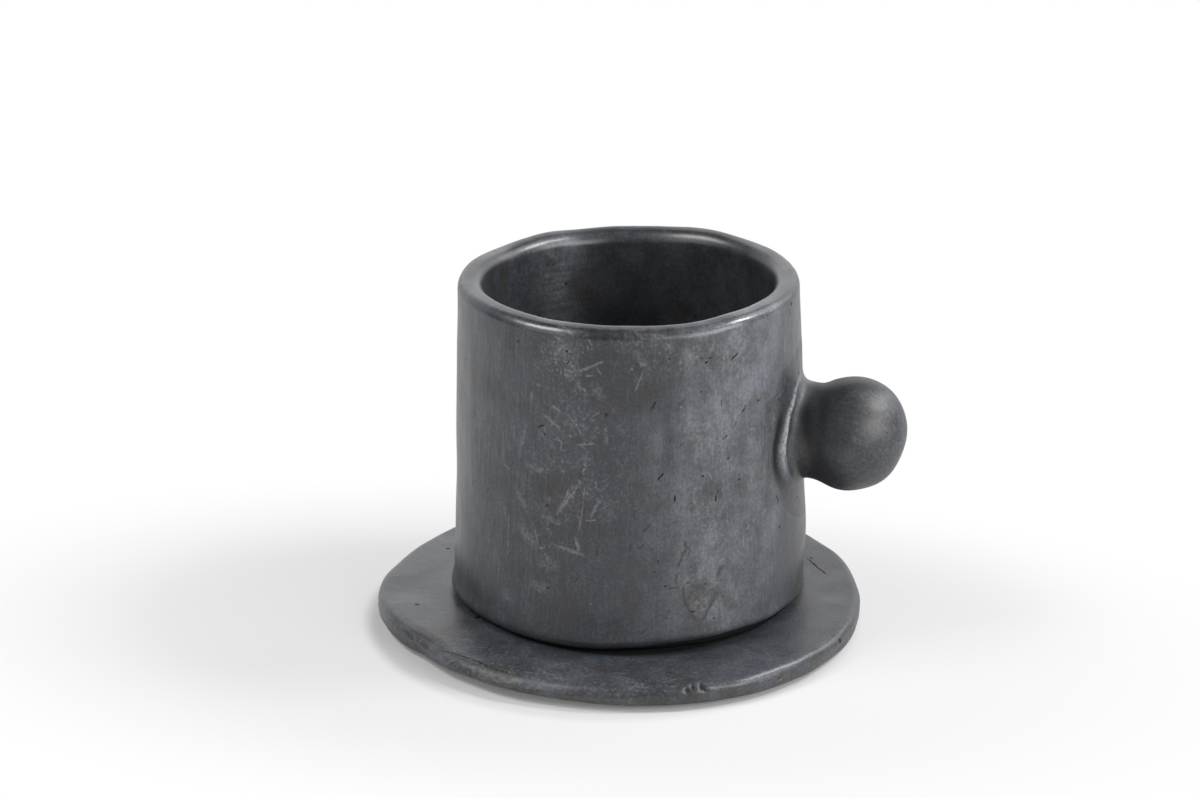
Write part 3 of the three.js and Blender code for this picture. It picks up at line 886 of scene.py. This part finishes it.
def strokes(tree, unwrap, start, cell, length, width, slant, spread, share):
    """Mask of straight strokes on the unrolled surface, one in a share of the cells of an uneven net."""
    place = vector(tree, "ADD", unwrap, start)
    net = node(tree, "ShaderNodeTexVoronoi", {"Vector": place, "Scale": 1 / cell}, voronoi_dimensions="2D")
    chance = node(tree, "ShaderNodeSeparateColor", {0: net.outputs["Color"]})
    tilts = -math.radians(slant - spread), -math.radians(slant + spread)
    tilt = remap(tree, chance.outputs["Red"], 0, 1, *tilts)
    away = {"Vector": vector(tree, "SUBTRACT", place, net.outputs["Position"]), "Angle": tilt}
    turned = node(tree, "ShaderNodeVectorRotate", away, rotation_type="Z_AXIS").outputs[0]
    shape = stroke_shape(tree, turned, length, width, 0.3 * length, 0.15 * width)
    return product(tree, shape, calc(tree, "LESS_THAN", chance.outputs["Green"], share))


def marks_mask(tree, name, shift, core=0.25):
    """Mask of the listed strokes and spots, with edges shaken a little; core is where it is full."""
    away = node(tree, "ShaderNodeUVMap", uv_map=name).outputs[0]
    away = vector(tree, "ADD", away, vector(tree, "MULTIPLY", shift, MARK_SHAKE))
    return stroke_shape(tree, away, 1, 1, core, 0.6 * core)


def pits(tree, place, spacing, share):
    """Mask of small round pits, in a share of the cells of an uneven net."""
    net = node(tree, "ShaderNodeTexVoronoi", {"Vector": place, "Scale": 1 / spacing})
    chance = node(tree, "ShaderNodeSeparateColor", {0: net.outputs["Color"]})
    size = remap(tree, chance.outputs["Red"], 0, 1, *PIT_SIZES)
    inside = calc(tree, "LESS_THAN", net.outputs["Distance"], size)
    return product(tree, inside, calc(tree, "LESS_THAN", chance.outputs["Green"], share))


class Clay:
    """The shared ground of the clay: places to measure from, mottle, grain and the pieces' own masks."""

    def __init__(self, name):
        self.material = bpy.data.materials.new(name)
        self.material.use_nodes = True
        tree = self.tree = self.material.node_tree
        self.shader = tree.nodes["Principled BSDF"]
        metres = {0: node(tree, "ShaderNodeTexCoord").outputs["Object"], "Scale": 1 / MM}
        self.place = node(tree, "ShaderNodeVectorMath", metres, operation="SCALE").outputs[0]
        self.flat = node(tree, "ShaderNodeUVMap", uv_map="unwrap").outputs[0]
        shake = node(tree, "ShaderNodeTexNoise", {"Vector": self.place, "Scale": SHAKE_SCALE, "Detail": 2.0})
        self.shift = vector(tree, "SUBTRACT", shake.outputs["Color"], (0.5, 0.5, 0.5))
        self.unwrap = vector(tree, "ADD", self.flat, vector(tree, "MULTIPLY", self.shift, (SHAKE, SHAKE, 0)))
        self.broad = noise(tree, self.place, *BROAD)
        self.cloud = noise(tree, self.place, *CLOUD)
        self.grain = noise(tree, self.place, *GRAIN)
        self.masks = {key: mask(tree, key) for key in ("scuff_and_painted_light", "streak", "blue_and_painted_light", "brown", "wear_and_glint", "painted_shade")}

    def stretched(self, across, up, detail=3.0):
        """Noise drawn out over the unrolled surface, so many mm across and up."""
        place = vector(self.tree, "MULTIPLY", self.flat, (1 / across, 1 / up, 0))
        return noise(self.tree, place, 1, detail, 0.6)

    def marks(self, name, *core):
        return marks_mask(self.tree, name, self.shift, *core)

    def strokes(self, scatter):
        return strokes(self.tree, self.unwrap, *scatter)

    def tint(self):
        """The clay's own colour: graphite, turned blue or brown by the fire; the blue layer also lays painted
        reflections and painted light.
        """
        tree, masks = self.tree, self.masks
        blue_and_painted_light = graded(tree, masks["blue_and_painted_light"], self.cloud, 0.2, 0.65, 0.6, 1)
        brown = graded(tree, masks["brown"], self.cloud, 0.6, 0.35, 0.3, 1)
        warm = noise(tree, vector(tree, "ADD", self.place, WARM_SHIFT), *WARM)
        brown = total(tree, brown, remap(tree, warm, 0.5, 0.68, 0, 0.5))
        return mix(tree, brown, mix(tree, blue_and_painted_light, GRAPHITE, BLUE_BLOOM_AND_PAINTED_LIGHT), BROWN_BLOOM)

    def finish(self, streak, pale, dark, roughness, level):
        """Joins the layers: colour from tint, tone, pale and dark marks, painted highlights and painted shade
        among them; gloss; and the small relief.
        """
        tree, masks = self.tree, self.masks
        line_tone = product(tree, calc(tree, "SUBTRACT", streak, 0.5), masks["streak"])
        tone = remap(tree, self.broad, 0.3, 0.7, *(share * level for share in BROAD_TONE))
        tone = calc(tree, "ADD", tone, product(tree, line_tone, STREAK_TONE))
        mottle = remap(tree, self.cloud, 0.28, 0.72, *CLOUD_TONE)
        mottle = graded(tree, mottle, masks["painted_shade"], 0, 0.4, 1, 0.25)
        tone = product(tree, tone, calc(tree, "ADD", mottle, 1.0))
        tone = graded(tree, tone, self.grain, 0.25, 0.75, *GRAIN_TONE)
        shade = node(tree, "ShaderNodeCombineXYZ", {0: tone, 1: tone, 2: tone}).outputs[0]
        colour = mix(tree, 1.0, self.tint(), shade, "MULTIPLY")
        colour = mix(tree, pale, colour, PALE_MARKS_AND_LIGHT)
        self.colour = mix(tree, dark, colour, MARK_AND_SHADE_BLACK)
        gloss = remap(tree, self.cloud, 0.25, 0.75, *roughness)
        gloss = calc(tree, "ADD", gloss, product(tree, pale, PALE_ROUGHER))
        polish = graded(tree, masks["wear_and_glint"], self.cloud, 0.35, 0.6, *POLISH)
        gloss = calc(tree, "SUBTRACT", gloss, polish)
        gloss = calc(tree, "ADD", gloss, product(tree, dark, DARK_ROUGHER))
        shine = remap(tree, dark, 0.4, 1, CLAY_SHINE, HOLE_SHINE)
        relief = product(tree, self.grain, GRAIN_RELIEF)
        relief = calc(tree, "ADD", relief, product(tree, line_tone, STREAK_RELIEF))
        relief = graded(tree, relief, masks["wear_and_glint"], 0, 1, 1, 0.2)
        bump = {"Height": calc(tree, "SUBTRACT", relief, dark), "Strength": BUMP_STRENGTH}
        bumped = node(tree, "ShaderNodeBump", {**bump, "Distance": BUMP_HEIGHT * MM})
        ends = {"Base Color": self.colour, "Roughness": gloss, "Specular IOR Level": shine,
                "Normal": bumped.outputs[0], "IOR": CLAY_IOR}
        for key, value in ends.items():
            feed(tree, self.shader.inputs[key], value)
        return self.material

    def overlay(self, factor, colour):
        """Lays one more colour over the finished clay."""
        laid = mix(self.tree, factor, self.colour, colour)
        self.tree.links.new(laid, self.shader.inputs["Base Color"])


# Marks seen on the wall: (angle, height, length, width, slant)
WALL_GOUGES = [
    (-73.7, 60.6, 4.0, 0.6, 57), (-44.9, 69.7, 3.2, 0.8, 32), (-41.2, 56.2, 2.8, 0.6, 50),
    (-44.8, 53.2, 1.9, 0.4, 63), (-71.3, 43.6, 3.1, 0.6, 44), (-49.0, 50.7, 2.1, 0.7, 34),
    (-111.0, 53.8, 2.4, 0.6, 26), (-75.7, 31.0, 3.4, 0.3, 46), (-13.8, 74.6, 2.8, 0.5, -80),
    (-25.7, 31.1, 3.4, 0.8, -70), (-66.6, 37.9, 2.1, 0.8, 90), (-52.5, 36.5, 2.2, 0.6, 83),
    (-50.2, 59.2, 2.0, 0.3, -83), (-101.3, 70.3, 1.6, 0.5, 62),
]
WALL_PITS = [
    (-101.9, 73.1, 1.0, 1.0, 0), (-57.3, 71.0, 1.0, 0.9, 0), (-54.3, 70.7, 0.8, 0.8, 0),
    (-55.6, 69.8, 1.0, 0.9, 0), (-68.2, 71.7, 0.6, 0.7, 0), (-57.5, 62.9, 0.7, 0.7, 0),
    (-88.7, 58.4, 1.0, 1.0, 0), (-109.7, 52.1, 0.9, 0.8, 0), (-34.6, 57.2, 0.9, 0.7, 0),
    (-57.2, 42.5, 1.0, 0.7, 0), (-51.8, 38.1, 0.7, 0.7, 0), (-16.4, 31.2, 1.6, 0.7, 0),
    (-56.7, 16.1, 0.8, 0.7, 0), (-50.4, 12.1, 0.7, 0.7, 0), (-53.9, 7.1, 0.5, 1.0, 0),
    (-43.6, 39.6, 1.4, 0.7, 0), (-60.8, 9.6, 1.5, 0.7, 0), (-73.2, 20.3, 0.6, 0.7, 0),
]
WALL_SCRATCHES = [
    (-93.7, 69.8, 7.9, 0.9, 27), (-94.2, 67.5, 2.2, 0.6, 2), (-91.2, 68.8, 2.5, 0.6, -57),
    (-105.5, 58.7, 3.0, 0.8, -23), (-107.3, 55.5, 6.1, 0.8, -31), (-99.2, 55.9, 3.1, 0.6, -40),
    (-97.5, 54.1, 3.5, 0.6, -65), (-92.3, 58.3, 2.7, 0.7, 34), (-95.4, 50.9, 5.0, 0.6, 8),
    (-104.7, 51.0, 2.4, 0.5, -7), (-103.8, 49.9, 3.1, 0.5, 82), (-124.4, 41.4, 2.8, 0.5, -28),
    (-96.1, 44.6, 1.8, 0.5, 58), (-101.6, 36.6, 11.8, 0.6, 55), (-102.5, 36.7, 8.4, 0.6, 66),
    (-92.1, 35.6, 6.1, 1.0, 62), (-93.6, 32.6, 3.4, 0.5, 9), (-101.0, 24.8, 9.0, 1.0, -11),
    (-97.9, 26.2, 5.5, 1.3, -76), (-98.7, 24.3, 6.2, 0.9, -12), (-95.9, 38.1, 5.2, 0.5, 88),
    (-96.7, 33.1, 8.1, 0.5, 81), (-123.6, 24.6, 12.6, 0.5, 89), (-112.2, 26.6, 6.0, 0.6, -74),
    (-110.0, 24.1, 2.6, 0.6, 12), (-78.1, 66.8, 6.6, 0.6, 68), (-49.1, 53.5, 2.2, 0.9, 10),
    (-37.5, 50.8, 2.6, 0.7, -9), (-54.4, 42.2, 3.3, 0.6, -64), (-54.4, 29.5, 4.3, 0.6, -87),
    (-60.0, 36.6, 2.4, 0.5, -74), (-39.9, 27.2, 1.9, 0.8, 53), (-32.4, 29.6, 2.2, 0.8, 42),
    (-42.0, 24.2, 3.0, 0.7, 90),
]
WALL_SPECKS = [
    (-102.9, 48.7, 0.7, 0.7, 0), (-36.8, 64.3, 1.0, 0.8, 0), (-32.3, 54.0, 0.8, 0.6, 0),
    (-64.4, 59.9, 1.0, 0.6, 0), (-100.7, 17.2, 0.5, 0.5, 0), (-93.2, 12.0, 0.4, 0.4, 0),
    (-68.6, 9.0, 0.4, 0.5, 0), (-56.2, 22.1, 0.5, 0.5, 0), (-31.6, 20.8, 0.8, 0.6, 0),
    (-80.7, 69.5, 0.9, 0.8, 0),
]
WALL_SMEARS = [
    (-59.2, 11.5, 6.5, 7.2, 0), (-102.7, 73.0, 10.2, 7.9, 0), (-100.2, 68.0, 6.0, 5.3, 0),
    (-97.5, 64.9, 4.7, 1.9, -49), (-91.7, 63.7, 7.1, 3.2, -48), (-117.7, 49.8, 12.9, 1.4, 78),
    (-114.3, 60.5, 3.9, 1.9, 81), (-112.2, 63.6, 1.9, 1.3, 0), (-106.6, 49.4, 1.8, 1.3, 0),
    (-100.7, 52.6, 1.7, 1.3, 0), (-88.7, 53.7, 7.1, 1.4, -90), (-113.3, 43.2, 6.8, 2.3, -10),
    (-103.1, 43.6, 1.7, 1.6, 0), (-101.7, 36.7, 10.4, 2.8, 57), (-115.8, 26.3, 8.3, 3.7, -40),
    (-107.0, 31.4, 7.7, 2.3, -10), (-107.6, 28.6, 1.8, 2.6, 0), (-118.2, 34.8, 8.9, 2.3, -55),
    (-116.2, 14.3, 5.9, 0.9, -87), (-127.9, 15.6, 8.7, 0.9, 89), (-108.2, 36.3, 2.1, 2.0, 0),
    (-58.0, 77.1, 7.8, 1.9, -4), (-53.3, 73.6, 5.6, 1.4, 58), (-59.8, 72.5, 3.8, 1.2, 39),
    (-48.3, 16.0, 1.8, 5.3, 0), (-48.3, 5.7, 3.3, 1.4, 75), (-66.0, 34.5, 3.2, 1.2, -72),
    (-49.2, 21.6, 1.1, 2.0, 0), (-77.2, 71.2, 9.3, 2.8, -53), (-68.9, 75.0, 3.8, 2.6, 0),
    (-58.5, 51.9, 17.1, 4.2, -88), (-51.7, 60.4, 14.8, 3.7, -84), (-43.5, 71.0, 8.5, 8.0, 0),
    (-108.0, 20.6, 7.8, 5.3, 0), (-111.2, 14.0, 7.1, 4.0, 0), (-124.5, 10.0, 3.9, 4.0, 0),
]
WALL_STAINS = [
    (-62.9, 26.2, 3.0, 1.2, -77), (-63.5, 24.4, 3.6, 1.2, 55), (-65.0, 22.1, 4.0, 1.1, 71),
    (-61.8, 25.0, 3.5, 1.0, 82), (-66.1, 18.3, 3.1, 0.9, 85), (-67.0, 16.0, 3.0, 0.8, 7),
    (-51.6, 18.6, 3.4, 1.7, 54), (-63.9, 14.8, 3.9, 1.0, 87), (-63.2, 12.0, 4.4, 1.0, -67),
    (-61.1, 8.9, 5.4, 1.0, -60), (-53.5, 12.8, 2.8, 1.1, 79), (-54.8, 10.7, 4.2, 1.1, 57),
    (-56.7, 8.3, 4.1, 1.1, 64), (-62.3, 17.0, 1.8, 0.8, 2), (-99.7, 11.0, 6.5, 1.6, 77),
    (-100.9, 7.8, 3.3, 1.3, 69), (-100.0, 12.3, 4.1, 1.1, 41), (-83.0, 14.6, 2.6, 1.3, -90),
]


def on_wall(marks):
    """Marks with their angle turned into a length round the unrolled wall."""
    return [(FOOT_RADIUS * math.radians(angle), *rest) for angle, *rest in marks]


# Marks seen on the saucer's top: (across, along, length, width, slant)
SAUCER_GOUGES = [(44.7, 20.2, 15, 0.7, -57), (8, -50, 5, 0.4, 4), (-31.6, -44.6, 11, 0.5, -29),
                 (-25.1, -48.4, 8, 0.9, -33), (-19.6, -51.5, 8, 0.6, -25)]

# Scattered strokes: (start of the net, cell, length, width, slant, spread of the slant, share of the cells)
WALL_DASHES = ((31, 7, 0), 4, 4.2, 0.9, -52, 40, 0.65)
WALL_CRUMBS = ((5, 53, 0), 2.1, 1.5, 0.8, 20, 90, 0.7)
WALL_LINES = ((77, 19, 0), 5, 10, 0.5, 88, 6, 0.6)
WALL_NICKS = ((13, 3, 0), 9, 2.2, 0.38, 55, 25, 0.3)
HANDLE_DASHES = ((3, 11, 0), 4.5, 3.2, 0.45, 75, 50, 0.5)
SAUCER_DASHES = ((9, 2, 0), 5, 4, 0.4, 10, 30, 0.35)

# Scattered pits: (spacing, share)
WALL_HOLES, HANDLE_HOLES, SAUCER_HOLES = (4.5, 0.16), (4.2, 0.2), (5, 0.2)
SMALL_HOLES, SMALL_HOLES_SHIFT = (2.6, 0.2), (17, 5, 0)

# Streaks: (mm across, mm up, detail) on the unrolled surface; on the handle, a stretch of space
UPRIGHT_STREAKS, LEVEL_STREAKS, SAUCER_STREAKS = (0.7, 7, 4), (16, 0.9), (12, 0.8)
HANDLE_STRETCH = (0.5, 2, 0.5)

# How dark each mark is, and the painted shade
HOLE_DARK, NICK_DARK, CUT_DARK = 0.7, 0.6, 0.75
SHADE_CURVE, SHADE_TO_INSIDE = 2.5, 3.0
HANDLE_SHADE_DARK, SAUCER_SHADE_DARK = 0.85, 0.8


def wall_clay():
    clay = Clay("wall_clay")
    tree, grain, masks = clay.tree, clay.grain, clay.masks
    inside = total(tree, product(tree, masks["painted_shade"], SHADE_TO_INSIDE))
    ways = {0: inside, 2: clay.stretched(*UPRIGHT_STREAKS), 3: clay.stretched(*LEVEL_STREAKS)}
    streak = node(tree, "ShaderNodeMix", ways).outputs[0]
    scuff_and_painted_light = graded(tree, masks["scuff_and_painted_light"], clay.cloud, 0.35, 0.62, 0.15, 1)
    flecks = graded(tree, remap(tree, grain, 0.5, 0.72), scuff_and_painted_light, 0, 1, 0.07, 0.62)
    drawn = total(tree, clay.strokes(WALL_DASHES), clay.strokes(WALL_CRUMBS))
    drawn = graded(tree, drawn, grain, *GRAIN_BREAK_HARD, 0.12, 1)
    drawn = graded(tree, drawn, scuff_and_painted_light, 0.1, 0.8, 0.0, 0.6)
    long_lines = graded(tree, clay.strokes(WALL_LINES), masks["streak"], 0, 1, 0.0, 0.22)
    scratches = graded(tree, clay.marks("scratches"), grain, *GRAIN_BREAK, 0.3, 0.75)
    smears = graded(tree, clay.marks("smears", 0.05), grain, 0.3, 0.7, 0.12, 0.7)
    # Glossy worn rim edges laid paler where the glints fall: painted highlight
    wear_and_glint = graded(tree, masks["wear_and_glint"], clay.cloud, 0.35, 0.7, 0.03, 0.2)
    pale = total(tree, flecks, drawn, long_lines, scratches, smears, wear_and_glint)

    nicks = product(tree, clay.strokes(WALL_NICKS), NICK_DARK)
    gouges = graded(tree, clay.marks("gouges"), grain, *GRAIN_BREAK, 0.45, 0.95)
    holes = product(tree, pits(tree, clay.place, *WALL_HOLES), HOLE_DARK)
    dark = total(tree, nicks, gouges, holes, calc(tree, "POWER", masks["painted_shade"], SHADE_CURVE))
    clay.finish(streak, pale, dark, WALL_ROUGHNESS, WALL_TONE)
    clay.overlay(graded(tree, clay.marks("stains"), grain, *GRAIN_BREAK, 0.45, 0.95), STAIN_BROWN)
    return clay.material


def handle_clay():
    clay = Clay("ball_clay")
    tree, grain, masks = clay.tree, clay.grain, clay.masks
    scuff_and_painted_light = graded(tree, masks["scuff_and_painted_light"], clay.cloud, 0.35, 0.6)
    flecks = graded(tree, remap(tree, grain, 0.5, 0.74), scuff_and_painted_light, 0, 1, 0.22, 0.75)
    drawn = graded(tree, clay.strokes(HANDLE_DASHES), grain, *GRAIN_BREAK_HARD, 0.05, 0.4)
    pale = graded(tree, total(tree, flecks, drawn), masks["painted_shade"], 0, 0.5, 1, 0.15)
    small_holes = pits(tree, vector(tree, "ADD", clay.place, SMALL_HOLES_SHIFT), *SMALL_HOLES)
    holes = total(tree, pits(tree, clay.place, *HANDLE_HOLES), small_holes)
    holes = product(tree, holes, HOLE_DARK)
    dark = total(tree, holes, product(tree, masks["painted_shade"], HANDLE_SHADE_DARK))
    streak = noise(tree, vector(tree, "MULTIPLY", clay.place, HANDLE_STRETCH), 1, 3)
    clay.finish(streak, pale, dark, HANDLE_ROUGHNESS, HANDLE_TONE)
    # The ridge laid pale: wear and a painted highlight
    clay.overlay(graded(tree, masks["wear_and_glint"], grain, *GRAIN_BREAK, 0.2, 0.85), RIDGE_WEAR_AND_HIGHLIGHT)
    return clay.material


def saucer_clay():
    clay = Clay("saucer_clay")
    tree, grain, masks = clay.tree, clay.grain, clay.masks
    flecks = remap(tree, clay.cloud, 0.4, 0.65, 0.1, 0.36)
    flecks = calc(tree, "ADD", flecks, product(tree, masks["scuff_and_painted_light"], 0.4))
    flecks = graded(tree, flecks, grain, 0.5, 0.76)
    drawn = graded(tree, clay.strokes(SAUCER_DASHES), masks["scuff_and_painted_light"], 0, 1, 0.16, 0.6)
    # Painted highlights along the saucer's top and foot edges
    wear_and_glint = graded(tree, masks["wear_and_glint"], grain, 0.35, 0.65, 0.1, 0.6)
    pale = total(tree, flecks, drawn, wear_and_glint)
    holes = product(tree, pits(tree, clay.place, *SAUCER_HOLES), HOLE_DARK)
    cuts = product(tree, clay.marks("gouges"), CUT_DARK)
    dark = total(tree, holes, cuts, product(tree, masks["painted_shade"], SAUCER_SHADE_DARK))
    return clay.finish(clay.stretched(*SAUCER_STREAKS), pale, dark, SAUCER_ROUGHNESS, SAUCER_TONE)


# Floor, light and camera

FLOOR_SIZE = 6000
FLOOR_WHITE = (0.68, 0.68, 0.68, 1)
POOL_CENTRE = (-4, -19, 0)
POOL_STRETCH = (1, 1.8, 1)
POOL_INNER = 92
POOL_OUTER = 188
POOL_GLOW = 0.55
# A ring under the saucer's edge with less glow, which deepens the floor's shadow there: painted shadow
CONTACT_CENTRE = (-2, -3.5, 0)
CONTACT_INNER = 56.5
CONTACT_OUTER = 61
CONTACT_GLOW = 0.12


def length_of(tree, value):
    return node(tree, "ShaderNodeVectorMath", {0: value}, operation="LENGTH").outputs["Value"]


def seen_rays(tree, reflected=1.0):
    """1 for rays from the camera, and a share for reflected and refracted ones."""
    path = node(tree, "ShaderNodeLightPath").outputs
    bent = calc(tree, "MAXIMUM", path["Is Glossy Ray"], path["Is Transmission Ray"])
    return calc(tree, "MAXIMUM", path["Is Camera Ray"], product(tree, bent, reflected))


def make_floor():
    mesh = bpy.data.meshes.new("floor")
    half = FLOOR_SIZE * MM / 2
    corners = [(-half, -half, 0), (half, -half, 0), (half, half, 0), (-half, half, 0)]
    mesh.from_pydata(corners, [], [(0, 1, 2, 3)])
    material = bpy.data.materials.new("white_floor")
    material.use_nodes = True
    tree = material.node_tree
    tree.nodes.clear()
    place = node(tree, "ShaderNodeNewGeometry").outputs["Position"]
    place = vector(tree, "DIVIDE", place, (MM, MM, MM))
    from_saucer = length_of(tree, vector(tree, "SUBTRACT", place, CONTACT_CENTRE))
    place = vector(tree, "MULTIPLY", vector(tree, "SUBTRACT", place, POOL_CENTRE), POOL_STRETCH)
    # Less glow near the saucer's edge: painted shadow under it
    contact = remap(tree, from_saucer, CONTACT_INNER, CONTACT_OUTER, CONTACT_GLOW, POOL_GLOW)
    pool = remap(tree, length_of(tree, place), POOL_INNER, POOL_OUTER, 0, 1 - POOL_GLOW)
    share = product(tree, calc(tree, "ADD", contact, pool), seen_rays(tree))
    paper = node(tree, "ShaderNodeBsdfDiffuse", {"Color": FLOOR_WHITE}).outputs[0]
    glow = node(tree, "ShaderNodeEmission", {"Strength": 1.0}).outputs[0]
    surface = node(tree, "ShaderNodeMixShader", {"Fac": share, 1: paper, 2: glow})
    node(tree, "ShaderNodeOutputMaterial", {"Surface": surface.outputs[0]})
    mesh.materials.append(material)
    floor = bpy.data.objects.new("floor", mesh)
    bpy.context.scene.collection.objects.link(floor)


# Softboxes: direction from the camera's side to its right, and height above the horizon
SOFTBOX_DISTANCE = 900
SOFTBOXES = {
    "softbox_right": {"azimuth": 52, "elevation": 22, "width": 700, "height": 500, "watts": 5.8},
    "softbox_right_high": {"azimuth": 92, "elevation": 46, "width": 190, "height": 190, "watts": 3.6},
    "softbox_right_back": {"azimuth": 120, "elevation": 38, "width": 500, "height": 700, "watts": 2.3},
    "softbox_left": {"azimuth": -77, "elevation": 52, "width": 300, "height": 300, "watts": 3.7},
    "softbox_left_front": {"azimuth": -55, "elevation": 28, "width": 500, "height": 600, "watts": 1.6},
    "softbox_back": {"azimuth": 180, "elevation": 22, "width": 900, "height": 400, "watts": 0.8},
}
ROOM_LIGHT = 0.02
WHITE = (1, 1, 1, 1)
BACKDROP_FROM, BACKDROP_TO = 0.2, 0.6
BACKDROP_TOP, BACKDROP_FULL = 0.72, 0.38


def view_direction(azimuth, elevation):
    """Unit vector from the object; azimuth is from the camera's side to its right."""
    a, e = math.radians(azimuth + CAMERA_AZIMUTH), math.radians(elevation)
    return Vector((math.sin(a) * math.cos(e), -math.cos(a) * math.cos(e), math.sin(e)))


def make_world():
    """A dim room; the camera sees white, and reflections see a white backdrop behind the object."""
    world = bpy.data.worlds.new("studio")
    world.use_nodes = True
    tree = world.node_tree
    tree.nodes.clear()
    towards = node(tree, "ShaderNodeTexCoord").outputs["Generated"]
    ways = {0: towards, 1: view_direction(180, 0)}
    behind = node(tree, "ShaderNodeVectorMath", ways, operation="DOT_PRODUCT").outputs["Value"]
    height = node(tree, "ShaderNodeSeparateXYZ", {0: towards}).outputs["Z"]
    behind = remap(tree, behind, BACKDROP_FROM, BACKDROP_TO)
    behind = graded(tree, behind, height, BACKDROP_TOP, BACKDROP_FULL)
    dim = node(tree, "ShaderNodeBackground", {"Color": WHITE, "Strength": ROOM_LIGHT}).outputs[0]
    white = node(tree, "ShaderNodeBackground", {"Color": WHITE, "Strength": 1.0}).outputs[0]
    surface = node(tree, "ShaderNodeMixShader", {"Fac": seen_rays(tree, behind), 1: dim, 2: white})
    node(tree, "ShaderNodeOutputWorld", {"Surface": surface.outputs[0]})
    bpy.context.scene.world = world


def put_facing(name, data, place, back):
    """Adds a light or camera at a place, looking the other way from back."""
    thing = bpy.data.objects.new(name, data)
    thing.location = place * MM
    thing.rotation_mode = "QUATERNION"
    thing.rotation_quaternion = (-back).to_track_quat("-Z", "Y")
    bpy.context.scene.collection.objects.link(thing)
    return thing


def make_lights():
    middle = Vector((*MUG_PLACE[:2], MUG_HEIGHT / 2))
    for name, box in SOFTBOXES.items():
        data = bpy.data.lights.new(name, "AREA")
        data.shape = "RECTANGLE"
        data.size = box["width"] * MM
        data.size_y = box["height"] * MM
        data.energy = box["watts"]
        back = view_direction(box["azimuth"], box["elevation"])
        put_facing(name, data, middle + back * SOFTBOX_DISTANCE, back)


def make_camera():
    data = bpy.data.cameras.new("camera")
    data.sensor_width = SENSOR_WIDTH
    data.lens = SENSOR_WIDTH * FOCAL_PIXELS / IMAGE_WIDTH
    data.clip_end = 100
    back = view_direction(0, CAMERA_ELEVATION)
    place = Vector(CAMERA_AIM) + back * CAMERA_DISTANCE
    bpy.context.scene.camera = put_facing("camera", data, place, back)


def main():
    body = make_mug_body(wall_clay())
    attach(body, "mug")
    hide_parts("mug_wall", "mug_base")

    handle = make_handle(handle_clay())
    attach(handle, "mug")
    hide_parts("handle_ball", "handle_collar")

    slab = make_saucer(saucer_clay())
    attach(slab, "saucer")
    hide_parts("saucer")

    make_floor()
    make_world()
    make_lights()
    make_camera()
    bpy.context.scene.view_settings.view_transform = "Standard"


main()
